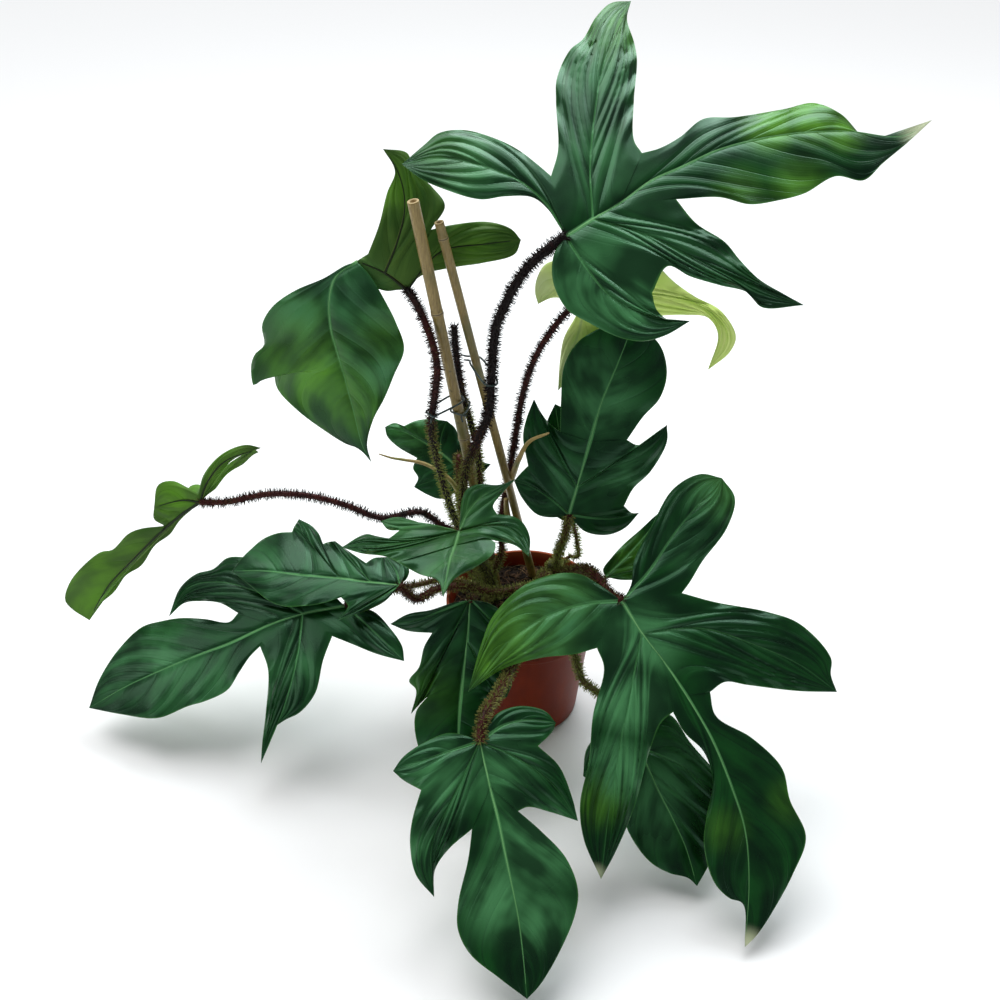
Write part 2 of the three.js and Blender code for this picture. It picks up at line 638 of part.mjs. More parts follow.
// A cane's axis, from its buried foot to its cut top.
function caneLine({ top, soil }) {
  const [head] = numbers(top).map(traced);
  const [entry] = numbers(soil).map(traced);
  const down = entry.clone().sub(head).normalize();
  return [entry.addScaledVector(down, caneBuried), head];
}

function caneSolid({ radius, top, soil, nodes }, grow) {
  const [bottom, head] = caneLine({ top, soil });
  const length = head.distanceTo(bottom);
  const full = radius + grow;
  const profile = [[0, 0], [full, 0]];
  nodes.forEach((share) => {
    const z = share * length;
    profile.push([full, z - 5], [full * 1.14, z - 1.5], [full * 1.14, z + 1.5], [full, z + 5]);
  });
  profile.push([full, length]);
  if (grow > 0) {
    profile.push([0, length]);
  } else {
    profile.push([radius * 0.55, length], [radius * 0.55, length - caneBoreDepth], [0, length - caneBoreDepth]);
  }
  profile.push([0, 0]);
  const cane = turned(profile.slice(0, -1), 12);
  const lean = head.clone().sub(bottom).normalize();
  cane.applyQuaternion(new THREE.Quaternion().setFromUnitVectors(new THREE.Vector3(0, 0, 1), lean));
  cane.translate(...bottom.toArray());
  return solidFrom(cane);
}

// A point on a stalk or cane at a given height.
function pointAtHeight(route, z) {
  const path = new THREE.CatmullRomCurve3(route, false, 'centripetal');
  const spots = path.getSpacedPoints(400);
  return spots.reduce((best, spot) => (Math.abs(spot.z - z) < Math.abs(best.z - z) ? spot : best));
}

// A wire that wraps a stalk and a cane, crosses, and ends in two tails.
function tieSolid({ first, second, height }, grow) {
  return tube(tieRoute(pointAtHeight(first.route, height), pointAtHeight(second.route, height),
    first.radius, second.radius), wireRadius + grow, 5, 2.6);
}

function tieRoute(first, second, firstRadius, secondRadius) {
  const between = second.clone().sub(first).setZ(0).normalize();
  const side = new THREE.Vector3(-between.y, between.x, 0);
  const rise = new THREE.Vector3(0, 0, 1.6);
  const a = firstRadius + wireRadius + seatGap;
  const b = secondRadius + wireRadius + seatGap;
  const corner = (centre, alongShare, sideShare, lift) => centre.clone()
    .addScaledVector(between, alongShare).addScaledVector(side, sideShare).addScaledVector(rise, lift);
  return [
    corner(first, -a - 5, -a - 2, -2.2), corner(first, -a * 0.75, -a * 0.75, -1), corner(first, 0.2 * a, -a, -0.6),
    corner(second, 0, -b, -0.4), corner(second, b * 0.75, -b * 0.7, -0.2), corner(second, b, 0, 0),
    corner(second, b * 0.75, b * 0.7, 0.2), corner(second, 0, b, 0.4), corner(first, 0, a, 0.6),
    corner(first, -a * 0.75, a * 0.7, 0.8), corner(first, -a, 0, 1), corner(first, -a - 2, -a - 1, 1.4),
    corner(first, -a - 4, -a - 6, 2.4),
  ];
}

// pot and soil

function potSolid() {
  const inner = (radius) => radius - potWall;
  const collarFoot = potHeight - potCollarHeight;
  const shell = solidFrom(turned([
    [0, 0], [potBaseRadius - 2, 0], [potBaseRadius, 2], [potNeckRadius, collarFoot - 2],
    [potCollarRadius, collarFoot], [potRimRadius - 1.5, potHeight - 4], [potRimRadius, potHeight - 3],
    [potRimRadius, potHeight], [inner(potRimRadius) - 1, potHeight], [inner(potCollarRadius), collarFoot + 2],
    [inner(potNeckRadius), collarFoot - 3], [inner(potBaseRadius), potFloor], [0, potFloor],
  ], 40));
  const drains = Array.from({ length: 5 }, (_, k) => {
    const angle = (2 * Math.PI * k) / 5;
    const drain = new THREE.CylinderGeometry(drainRadius, drainRadius, 12, 10).rotateX(Math.PI / 2);
    return solidFrom(drain.translate(drainRing * Math.cos(angle), drainRing * Math.sin(angle), 0));
  });
  return shell.subtract(joined(drains));
}

function soilSolid(standing) {
  const gap = potWall + seatGap;
  const collarFoot = potHeight - potCollarHeight;
  const rim = potCollarRadius + (potRimRadius - potCollarRadius) * ((soilEdgeTop - collarFoot) / potCollarHeight);
  const geometry = turned([
    [0, potFloor + seatGap], [potBaseRadius - gap - 0.4, potFloor + seatGap], [potNeckRadius - gap - 0.6, collarFoot - 3],
    [potCollarRadius - gap - 0.8, collarFoot + 2], [rim - gap - 1.6, soilEdgeTop],
    [66, soilTop - 1], [50, soilTop], [32, soilTop + 1], [15, soilTop + 2], [0, soilTop + 2],
  ], 32);
  const position = geometry.attributes.position;
  for (let k = 0; k < position.count; k += 1) {
    const x = position.getX(k);
    const y = position.getY(k);
    const z = position.getZ(k);
    if (z > soilEdgeTop + 0.5) {
      const lump = 2.2 * Math.sin(x / 9) * Math.cos(y / 11) + 1.4 * Math.sin((x + 2 * y) / 13);
      position.setZ(k, z + lump);
    }
  }
  return solidFrom(geometry).subtract(joined(standing));
}

// sheaths

const sheaths = {
  sheath_right: { points: '506,490,52 512,477,46 519,459,21 530,441,4 549,433,-4', radius: 4.4,
    taper: (share) => (1 - share) ** 0.6 * 0.75 + 0.25 },
  sheath_left: { points: '460,494,12 448,478,14 425,464,20 405,460,18 392,458,12 379,454,6', radius: 3.0,
    taper: (share) => (1 - share) ** 0.7 * 0.75 + 0.25 },
  sheath_dry: { points: '509,526,48 507,512,47 506,499,46', radius: 5, taper: (share) => 1 - 0.45 * share },
};

const sheathTube = ({ points, radius, taper }, grow) => tube(numbers(points).map(traced), radius + grow, 7, 6, taper);

// ties

const onCane = (name) => ({ route: caneLine(canes[name]), radius: canes[name].radius * 1.08 });
const onStalk = (stalk) => ({ route: stalkRoute(stalk), radius: stalk.radius + 0.5 });

const ties = {
  tie_upper: { first: onCane('cane_middle'), second: onStalk(stalks.top), height: 425 },
  tie_middle: { first: onStalk(stalks.folded), second: onCane('cane_left'), height: 389 },
  tie_lower: { first: onCane('cane_left'), second: onStalk(cutStalk), height: 374 },
};

// assembly

const named = (items, make) => Object.fromEntries(Object.entries(items).map(([name, item]) => [name, make(item)]));

const stemRoomy = named(stems, (route) => stemSolid(route, seatGap));
const caneRoomy = Object.values(named(canes, (cane) => caneSolid(cane, seatGap)));
const sheathRoomy = Object.values(named(sheaths, (sheath) => sheathTube(sheath, seatGap)));
const tieRoomy = Object.values(named(ties, (tie) => tieSolid(tie, seatGap)));
const stalkRoomy = named(stalks, (stalk) => stalkTube(stalk, seatGap));
const bladeRoomy = Object.fromEntries(leaves.map((leaf) => [
  leaf.name, bladeSolid(leaf, bladeThickness + 2 * seatGap),
]));

place('pot', potSolid(), materials.pot);
place('soil', soilSolid([...Object.values(stemRoomy), ...caneRoomy]), materials.soil);
Object.entries(stems).forEach(([name, route]) => place(name, stemSolid(route, 0), materials.stem));
Object.entries(canes).forEach(([name, cane]) => place(name, caneSolid(cane, 0), materials.cane));

leaves.forEach((leaf) => {
  const shade = { lime: materials.lime, pale: materials.pale }[leaf.name] ?? materials.blade;
  place(`blade_${leaf.name}`, bladeSolid(leaf, bladeThickness), shade);
});

const allStalks = [...Object.entries(stalks), ['cut', cutStalk]];
const fixedNear = [...Object.values(stemRoomy), ...caneRoomy, ...sheathRoomy, ...tieRoomy,
  ...Object.values(bladeRoomy)];
allStalks.forEach(([name, stalk], k) => {
  const others = Object.keys(stalkRoomy).filter((other) => other !== name).map((other) => stalkRoomy[other]);
  const ends = [stemRoomy[stalk.on], ...(bladeRoomy[name] ? [bladeRoomy[name]] : [])];
  const solid = stalkSolid(stalk, 11 + k, ends, [...fixedNear, ...others]);
  place(name === 'cut' ? 'stalk_cut' : `petiole_${name}`, solid, materials.stalk);
});

Object.entries(sheaths).forEach(([name, sheath]) => {
  const solid = clearOf(sheathTube(sheath, 0), [stemRoomy.stem_left, stalkRoomy.lime, ...caneRoomy]);
  place(name, solid, materials.sheath);
});
Object.entries(ties).forEach(([name, tie]) => place(name, tieSolid(tie, 0), materials.wire));

export default group;
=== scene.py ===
import math

import bmesh
import bpy
import numpy as np
from mathutils import Matrix, Vector, noise


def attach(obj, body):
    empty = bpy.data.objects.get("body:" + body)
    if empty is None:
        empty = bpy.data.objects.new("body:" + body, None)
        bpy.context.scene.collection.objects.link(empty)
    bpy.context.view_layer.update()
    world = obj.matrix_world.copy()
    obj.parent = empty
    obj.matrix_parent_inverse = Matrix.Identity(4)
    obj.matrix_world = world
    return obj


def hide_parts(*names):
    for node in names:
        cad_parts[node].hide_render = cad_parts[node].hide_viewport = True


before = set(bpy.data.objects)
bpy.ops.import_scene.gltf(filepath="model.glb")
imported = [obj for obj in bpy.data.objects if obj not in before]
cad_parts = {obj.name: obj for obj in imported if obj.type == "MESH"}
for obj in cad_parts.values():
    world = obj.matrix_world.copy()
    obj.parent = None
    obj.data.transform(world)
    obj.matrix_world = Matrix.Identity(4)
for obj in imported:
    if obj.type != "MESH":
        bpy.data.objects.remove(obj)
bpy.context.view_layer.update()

MM = 0.001
MERGE_DISTANCE = 0.00002

# The view that the leaves are traced in: pixels of a square picture, and millimetres
PICTURE_SIZE = 1000
FOCAL_PIXELS = 1250
VIEW_DROP = math.radians(35.5)
EYE = np.array((-26.5, -1045.6, 1026.2))

# Pot and soil, mm
POT_HEIGHT = 150
POT_RIM_RADIUS = 85
POT_COLLAR_RADIUS = 81
POT_COLLAR_FOOT = 126
POT_NECK_RADIUS = 75
POT_BASE_RADIUS = 61
POT_WALL = 2
POT_FLOOR = 3
POT_SIDES = 128
CORNER_RADIUS = 1.1
CORNER_POINTS = 4
DRAIN_RADIUS = 5
DRAIN_RING = 38
DRAIN_COUNT = 5
SOIL_TOP = 136
SOIL_EDGE_TOP = 133
SOIL_GAP = 0.7
SOIL_SIDES = 150
SOIL_RINGS = 46
LITTER_REACH = 74
LITTER_RINGS = 20
LITTER_SIDES = 60
FIBRE_RADIUS = 0.28
FIBRE_ARC = 1.5

# Leaves, mm. LIFT_BLEND is a share of the leaf's length, and COLUMN_SHARES run from the rib to the margin.
LEAF_THICKNESS = 0.7
LIFT_BLEND = 0.08
ROW_PIXELS = 2.6
COLUMN_SHARES = [0, 0.02, 0.05, 0.085] + [0.125 + 0.875 * k / 17 for k in range(18)]
# How far apart side veins are, and how they reach out, fall short and turn, in shares of a half lobe. The
# pleat is the height of the swellings between them.
SIDE_VEINS = {'spacing': 35, 'reach': 1.03, 'fall': 0.80, 'turn': 0.15, 'pleat': 2.1}
END_VEINS = {'spacing': 42, 'reach': 1.45, 'fall': 0.0, 'turn': 0.26, 'pleat': 0.9}
VEIN_UNEVENNESS = 0.24
PLEAT_ROUNDNESS = 0.8
RIB_CREASE = 1.3
RIB_FADE = 5
WAVE_HEIGHT = 2.2
WAVE_LENGTH = 55
MARGIN_DROP = 4
MIDRIB_RADII = (2.0, 0.4)
LOBE_RIB_RADII = (1.1, 0.3)
# How often each search or evening-out is repeated
SIGHT_ROUNDS = 24
VEIN_ROUNDS = 30
EVEN_ROUNDS = 12

# Stalks, stems, canes and ties, mm. What a tree's inputs are set to is in metres.
STALK_SIDES = 12
STALK_STEP = 3
BRISTLE_TIP_RADIUS = 0.2
STALK_BRISTLES = {'Bristles per Square Metre': 360000.0, 'Bristle Length': 0.0052,
                  'Bristle Radius': 0.00055, 'Lean': 0.42}
STEM_BRISTLES = {'Bristles per Square Metre': 260000.0, 'Bristle Length': 0.0045,
                 'Bristle Radius': 0.0006, 'Lean': 0.6}
BRISTLE_SINK = 0.5
# The radius of a stalk's skin, and of a stem or sheath, as a share of the solid's
SKIN_SHARE = 0.90
DRESSED_SHARE = 0.93
STEM_RADIUS = 8
SCAR_SPACING = 21
CANE_BORE_DEPTH = 12
CANE_BURIED = 50
SHEATH_POINTS = 60
WIRE_RADIUS = 1.0
WIRE_POINTS = 110

# tracing

def numbers(text):
    """The points of a traced line, as a list of lists of numbers."""
    return [[float(part) for part in item.split(',')] for item in text.split()]


def sight_lines(pixels):
    """The directions in which the given pixels are seen."""
    right = (pixels[..., 0] - PICTURE_SIZE / 2) / FOCAL_PIXELS
    down = (pixels[..., 1] - PICTURE_SIZE / 2) / FOCAL_PIXELS
    cos = math.cos(VIEW_DROP)
    sin = math.sin(VIEW_DROP)
    return np.stack((right, cos - sin * down, -sin - cos * down), axis=-1)


def traced(point):
    """The place at depth y, in mm, where a pixel's sight line passes."""
    sight = sight_lines(np.array(point[:2]))
    return EYE + sight * (point[2] - EYE[1]) / sight[1]


def steps_of(points):
    return np.linalg.norm(np.diff(points, axis=0), axis=1)


def travelled(points):
    """How far each point lies along a line of straight steps."""
    return np.concatenate(([0], np.cumsum(steps_of(points))))


def smooth_line(points, count=None, shares=None):
    """Points along the centripetal curve through points, evenly spaced or at shares of its length."""
    points = np.array(points, dtype=float)
    fine = points
    if len(points) > 2:
        posts = np.vstack((2 * points[0] - points[1], points, 2 * points[-1] - points[-2]))
        pieces = []
        for p0, p1, p2, p3 in zip(posts, posts[1:], posts[2:], posts[3:]):
            t1, t2, t3 = np.cumsum([max(np.linalg.norm(b - a) ** 0.5, 1e-6)
                                    for a, b in ((p0, p1), (p1, p2), (p2, p3))])
            t = np.linspace(t1, t2, 25)[:-1, None]
            a1 = (t1 - t) / t1 * p0 + t / t1 * p1
            a2 = (t2 - t) / (t2 - t1) * p1 + (t - t1) / (t2 - t1) * p2
            a3 = (t3 - t) / (t3 - t2) * p2 + (t - t2) / (t3 - t2) * p3
            b1 = (t2 - t) / t2 * a1 + t / t2 * a2
            b2 = (t3 - t) / (t3 - t1) * a2 + (t - t1) / (t3 - t1) * a3
            pieces.append((t2 - t) / (t2 - t1) * b1 + (t - t1) / (t2 - t1) * b2)
        fine = np.vstack(pieces + [points[-1:]])
    far = travelled(fine)
    if shares is None:
        shares = np.linspace(0, 1, count)
    wanted = np.asarray(shares) * far[-1]
    return np.stack([np.interp(wanted, far, fine[:, axis]) for axis in range(fine.shape[1])], axis=-1)


def curve_length(points):
    return float(np.sum(steps_of(smooth_line(points, count=200))))


def new_lobe(root, seam, rib, back, front):
    """One lobe. Its rib leaves the midrib at the post root and ends at the tip, and its halves meet the next
    lobe at the post seam. back runs from the notch before it to the tip, and front from the tip to the
    notch after it."""
    return {'root': root, 'seam': seam, 'rib': numbers(rib), 'back': numbers(back), 'front': numbers(front)}


def new_side(edge, *lobes):
    """One side of a leaf: its lobes from the base onwards, and the margin of its end, up to the leaf's tip."""
    return {'edge': numbers(edge), 'lobes': lobes}


def new_leaf(name, depth, turn, rise, droop, arch, midrib, *sides, **more):
    """A leaf: how deep its base lies, the turn and rise of its plane in degrees, how strongly it droops along
    its length and arches across, and its traced lines."""
    return {'name': name, 'depth': depth, 'turn': turn, 'rise': rise, 'droop': droop, 'arch': arch,
            'midrib': numbers(midrib), 'sides': sides, **more}


def new_stalk(radius, seen, hid, tone=(0.3, 0.5, 0.6), bristle_tone=(0.5, 0.7, 0.8)):
    """A stalk from its blade down to its stem. seen is traced as pixel x, pixel y and depth y, and hid is the
    stretch that leaves cover, in mm. The tones of its skin and bristles run along it, from nearly black at
    0 to yellow green at 1."""
    route = [traced(point) for point in numbers(seen)] + [np.array(point) for point in numbers(hid)]
    return {'radius': radius, 'route': route, 'tone': tone, 'bristle_tone': bristle_tone}


LEAVES = [
    new_leaf('top', 0, 5, 50, 0.1, 0.16,
        '566,236 593,219 620,203 650,181 681,167 720,149 781,135 845,131 903,136 932,120',
        new_side('660,148 680,137 703,119 735,117 784,109 814,103 841,114 868,140 884,136 902,130',
            new_lobe(0, 0, '549,206 520,181 480,165 440,158 402,164',
                '560,227 547,208 532,197 505,196 480,199 442,188 420,178',
                '424,145 439,133 464,130 494,138 517,149 537,164 551,176'),
            new_lobe(1, 2, '590,170 594,120 602,70 616,32 631,1',
                '558,150 556,100 557,78 570,50 583,39 596,17 611,3',
                '627,19 634,42 637,60 634,100 634,140 642,153')),
        new_side('720,197 750,204 779,200 805,193 836,176 864,180 883,163 907,143',
            new_lobe(0, 0, '585,265 610,295 650,316 690,321',
                '554,254 553,281 567,309 588,322 619,337 643,341 666,335', '671,321 657,310 652,293'),
            new_lobe(1, 2, '640,232 690,256 740,280 804,305', '668,266 690,276 720,285 747,292 762,307',
                '784,294 759,279 740,260 725,242 696,223 676,199'))),
    new_leaf('lime', 80, 0, 5, 0.06, 0.1, '585,298 600,262 618,222 634,178',
        new_side('582,232 596,200',
            new_lobe(0, 1, '562,286 538,304', '570,299 552,298', '535,292 537,278 546,264 572,258')),
        new_side('655,220',
            new_lobe(0, 0, '578,335 566,362 558,391', '576,316 564,338 560,360', '574,372 592,345 612,320'),
            new_lobe(0, 1, '640,296 690,300 722,328 708,370', '645,317 685,315 708,318 718,335',
                '730,352 736,336 721,311 694,296 671,279 650,255'))),
    new_leaf('folded', 40, 0, 8, 0, 0.12, '407,290 385,273 357,261',
        new_side('',
            new_lobe(0, 0, '440,252 485,244 521,240', '413,282 425,274 456,267 483,263 515,254',
                '511,229 488,222 452,225 430,230'),
            new_lobe(1, 1, '398,240 405,205 398,172 383,149', '445,206 432,187 414,170 407,153',
                '395,171 387,193 379,225 368,254')),
        new_side('398,290 386,291 372,285'),
        back_seen=True,
        flap=new_leaf('folded', 44, -14, 17, 0.1, 0.14,
            '357,262 336,276 329,300 331,330 340,362 352,405 363,447 371,462',
            new_side('346,265 324,278 294,291 272,307 262,325 264,345 255,354 251,366 254,386 264,372'
                ' 272,364 277,388 297,410 325,431 346,444 360,449'),
            new_side('370,276 385,301 396,323 404,349 394,375 384,399 373,420 367,445'),
            relief=1.9)),
    new_leaf('middle', -10, 0, 20, 0.06, 0.12, '569,514 577,487 590,442 601,404 618,363 634,322',
        new_side('561,400 564,366 577,343 596,330 615,322',
            new_lobe(0, 0, '550,498 530,486 514,481', '560,517 538,515 522,498', '520,474 528,466'),
            new_lobe(1, 2, '560,458 546,430 534,399', '523,437 526,420', '542,414 550,424 560,432')),
        new_side('643,417 660,398 667,373 660,345',
            new_lobe(0, 0, '595,518 618,518 639,513', '584,531 607,535 625,528', '632,513 624,506'),
            new_lobe(1, 2, '605,470 640,445 667,425', '633,489 651,471 667,442', '656,436 638,445 627,440'))),
    new_leaf('hidden', 30, 0, 15, 0.05, 0.1, '573,524 569,490 562,450 555,404',
        new_side('543,460 546,425',
            new_lobe(0, 1, '556,512 538,500', '560,519', '540,490 552,486')),
        new_side('592,455 584,428 566,410',
            new_lobe(0, 1, '595,510 615,492', '592,522 606,510', '604,482 590,486'))),
    new_leaf('back', 64, 0, 25, 0.08, 0.12, '458,468 440,452 420,440 402,431 385,427',
        new_side('394,423',
            new_lobe(0, 0, '475,466 491,464', '468,476 480,475', '484,463 476,455 464,450'),
            new_lobe(1, 2, '441,436 447,421', '460,440 455,428', '430,419 415,421 404,426')),
        new_side('398,447 387,436',
            new_lobe(0, 1, '440,477 414,487', '457,490 441,499 428,495', '418,478 413,468 417,458'))),
    new_leaf('pale', -50, 0, 84, 0.06, 0.08, '459,531 455,545 450,560 446,580 443,597',
        new_side('420,574 438,580',
            new_lobe(0, 0, '430,524 404,521 381,521', '449,528 430,526 412,520 396,517', '388,529 400,530'),
            new_lobe(0, 1, '430,538 395,543 368,543 342,547', '386,539 366,534', '362,553 385,556 398,562')),
        new_side('495,542 494,552 475,567 452,580',
            new_lobe(0, 0, '468,512 480,498 496,488 515,479', '460,518 461,503 467,489 480,484 500,485',
                '503,492 493,506 497,514'),
            new_lobe(0, 1, '480,526 505,526 521,537 529,556', '515,517 524,524 530,538',
                '515,545 500,541 483,538')),
        lift=0.8),
    new_leaf('far_left', 0, -10, 15, 0.04, 0.06, '200,502 181,515 159,534 130,563 109,585 89,620',
        new_side('140,529 128,534 112,550 101,552 86,563 70,582 65,600 72,609',
            new_lobe(0, 0, '207,483 224,462 261,448', '210,488 222,471 234,459',
                '245,445 222,454 204,474 198,494'),
            new_lobe(0, 2, '184,500 154,507', '186,487 172,481 158,485', '154,519 165,526')),
        new_side('182,517 161,536 132,565 107,592 92,610'),
        twin=62, back_seen=True),
    new_leaf('left_upper', -30, -20, 72, 0.1, 0.1, '399,585 370,582 340,578 300,575 265,571 232,571',
        new_side('278,533 263,539 251,549 241,559',
            new_lobe(0, 1, '396,572 386,557', '407,578 409,568 398,560', '374,558 366,563'),
            new_lobe(1, 2, '350,558 335,541', '350,552', '328,542 323,544'),
            new_lobe(2, 3, '314,548 299,519', '319,534 312,526', '294,527 292,532')),
        new_side('322,603 300,606 283,606 268,600 252,587',
            new_lobe(0, 1, '378,598 358,610 338,620', '386,600 372,608', '348,606 341,597'))),
    new_leaf('left_lower', -32, -25, 55, 0.08, 0.12,
        '345,606 302,614 271,624 230,643 198,655 157,672 125,687 89,708',
        new_side('229,622 205,619 181,618 162,621 142,627 118,650 99,680',
            new_lobe(1, 2, '262,594 220,582 188,588 169,616',
                '325,588 280,565 242,557 227,558 213,569 196,574 180,588',
                '184,603 200,601 220,603 238,613')),
        new_side('250,656 239,672 227,690 205,701 188,706 157,718 120,714',
            new_lobe(0, 1, '366,625 388,645 404,661', '373,611 390,628 402,646', '377,654 352,644 332,636'),
            new_lobe(1, 2, '298,650 286,700 261,763', '323,660 315,693 300,712 283,721 269,733',
                '262,745 266,710 268,670 260,646'))),
    new_leaf('pot_front', -90, -5, 34, 0.06, 0.14, '470,600 467,641 463,678 460,705 458,740 456,790',
        new_side('416,712 416,738 430,770',
            new_lobe(0, 0, '440,612 415,621 390,624', '452,603 430,610 408,614', '408,631 432,633'),
            new_lobe(0, 2, '450,640 430,680 411,714', '424,647 419,667 409,681 416,690', '420,704 428,696')),
        new_side('490,725 480,765',
            new_lobe(0, 1, '490,620 514,640', '488,603 505,615', '502,650 490,655'),
            new_lobe(1, 3, '485,675 507,697', '506,668 512,682', '495,701 484,698'))),
    new_leaf('front', -239, 0, 50, 0.06, 0.14, '480,742 490,787 498,819 506,858 518,916 523,955 527,999',
        new_side('468,860 458,904 458,930 470,954 499,978',
            new_lobe(0, 0, '455,750 425,760 393,771', '470,737 449,733 425,742 403,757', '403,780 421,790'),
            new_lobe(0, 1, '457,790 432,845 434,897', '412,821 410,845 416,875', '435,870 448,850 472,829')),
        new_side('541,831 566,858 578,890 575,915 558,955 540,985',
            new_lobe(0, 0, '505,725 530,720 556,723', '484,730 498,713 520,706 545,711', '552,732 538,746'),
            new_lobe(0, 1, '515,757 553,785 578,821', '559,766 572,797', '550,812 528,807 518,811'))),
    new_leaf('right', -120, 0, 47, 0.06, 0.12,
        '622,601 642,633 662,659 686,695 712,740 732,788 745,830 749,880 745,947',
        new_side('685,733 704,752 713,782 707,815 704,845 714,882 729,898 743,904',
            new_lobe(0, 0, '585,604 545,617 505,645 468,692',
                '600,585 579,574 555,574 523,586 493,616 482,642', '503,669 540,658 575,654 597,648'),
            new_lobe(1, 2, '632,685 620,745 610,805 601,879', '604,668 593,715 589,760 580,805 584,840',
                '616,851 634,808 650,750 661,723 673,712')),
        new_side('716,716 752,738 782,768 790,800 806,837 793,874 773,911 757,935',
            new_lobe(0, 0, '648,573 675,533 702,500 722,478', '631,585 634,560 652,525 673,489 700,474',
                '735,498 727,528 702,562 690,582 682,593'),
            new_lobe(1, 3, '700,628 755,645 800,665 837,692', '715,602 768,612 800,624 831,658 831,675',
                '798,691 748,685 725,682 710,692'))),
    new_leaf('right_low', -160, 0, 50, 0.06, 0.12, '625,715 640,748 656,785 672,817 686,848 697,886',
        new_side('622,812 629,833 649,861 669,873 688,878',
            new_lobe(0, 1, '606,745 583,776', '608,725 587,748', '600,788 614,795')),
        new_side('711,858 704,874',
            new_lobe(1, 2, '680,765 715,795 742,812', '648,708 672,716 690,742 718,775', '724,832 706,838'))),
    new_leaf('small', -40, 10, 40, 0.1, 0.14, '606,577 625,558 645,536 668,506',
        new_side('603,570 612,557 625,543 640,530 655,516'),
        new_side('668,530',
            new_lobe(0, 1, '640,570 668,566', '622,580 645,578', '664,554 655,550'))),
]
STALKS = {
    'top': new_stalk(4.3, '566,236,0 552,246,-3 529,266,-5 514,287,-7 505,305,-8 497,323,-9 494,341,-10'
        ' 491,384,-10 489,412,-10 476,443,-8 467,465,-4 462,497,2', '-66,4,262 -58,4,228 -52,8,210',
        (0.03, 0.03, 0.03, 0.05, 0.1, 0.3, 0.5), (0.0, 0.0, 0.0, 0.05, 0.55, 0.9, 0.9)),
    'lime': new_stalk(3.2,
        '585,298,80 570,309,74 558,322,66 538,352,56 524,389,52 517,427,50 511,464,54 504,500,58',
        '-26,40,216 -25,24,192 -36,12,172', (0.3, 0.35, 0.3, 0.25, 0.3, 0.5),
        (0.15, 0.2, 0.2, 0.2, 0.5, 0.8)),
    'folded': new_stalk(3.6, '407,290,40 414,300,30 426,325,12 435,354,0 437,372,-4 434,400,-6 431,425,-8'
        ' 435,452,-12 450,505,-20 458,528,-24', '-66,-18,232 -58,-4,200 -54,4,190',
        (0.1, 0.42, 0.2, 0.05, 0.08, 0.15, 0.4), (0.1, 0.35, 0.2, 0.75, 0.95, 0.95, 0.9)),
    'middle': new_stalk(4.0, '569,514,-10 566,532,0 559,550,16 555,566,32', '31,40,166 28,34,150',
        (0.3, 0.5, 0.6), (0.7, 0.9, 0.9)),
    'hidden': new_stalk(2.2, '573,524,30 577,540,34 577,557,40', '50,44,172 36,34,160', (0.5, 0.6, 0.7),
        (0.9, 0.9, 0.9)),
    'back': new_stalk(3.0, '458,468,64', '-70,52,300 -70,34,268 -64,18,244'),
    'pale': new_stalk(3.0, '459,531,-50', '-66,-44,258 -56,-22,204 -48,2,176'),
    'far_left': new_stalk(3.2, '200,502,0 225,502,0 270,494,0 310,496,0 345,505,0 382,518,0',
        '-110,4,262 -84,12,236 -54,13,222', (0.42, 0.35, 0.25, 0.25), (0.35, 0.2, 0.1, 0.3)),
    'left_upper': new_stalk(4.2, '399,585,-30 417,599,-26 435,590,-24 460,586,-22 495,592,-12',
        '4,6,160 24,26,150', (0.35, 0.5, 0.6), (0.4, 0.7, 0.8)),
    'left_lower': new_stalk(3.2, '345,606,-32', '-160,-18,170 -118,-2,169 -84,10,167 -38,12,152',
        (0.3, 0.5, 0.6), (0.4, 0.7, 0.8)),
    'pot_front': new_stalk(3.2, '470,600,-90', '-53,-78,204 -48,-50,174 -43,-20,157 -38,4,150'),
    'front': new_stalk(4.6, '480,742,-239 484,716,-220 497,695,-190 511,668,-150',
        '-4,-110,190 8,-60,186 16,-10,178 22,16,170 25,24,158', (0.35, 0.35, 0.35, 0.4),
        (0.62, 0.66, 0.66, 0.7)),
    'right': new_stalk(4.2, '622,601,-120 610,594,-100', '70,-70,236 60,-30,214 46,0,186 32,24,166',
        (0.4, 0.4, 0.5), (0.4, 0.5, 0.7)),
    'right_low': new_stalk(3.6,
        '625,715,-160 612,704,-146 597,692,-130 583,681,-116 578,667,-108 575,655,-102',
        '40,-88,200 42,-56,186 38,-20,164 28,22,148', (0.75, 0.7, 0.6, 0.6), (0.95, 0.9, 0.8, 0.8)),
    'small': new_stalk(1.8, '606,577,-40 598,584,-30', '66,-10,190 56,14,172 31,28,150'),
}
# The old stalk that was cut square, traced like the others.
CUT_STALK = new_stalk(3.4, '454,326,36 455,345,36 459,375,39 464,400,38 471,424,31 478,452,18 480,478,8',
    '-42,4,262 -46,6,238', (0.03, 0.05, 0.1, 0.2, 0.3), (0.05, 0.3, 0.85, 0.95, 0.95))
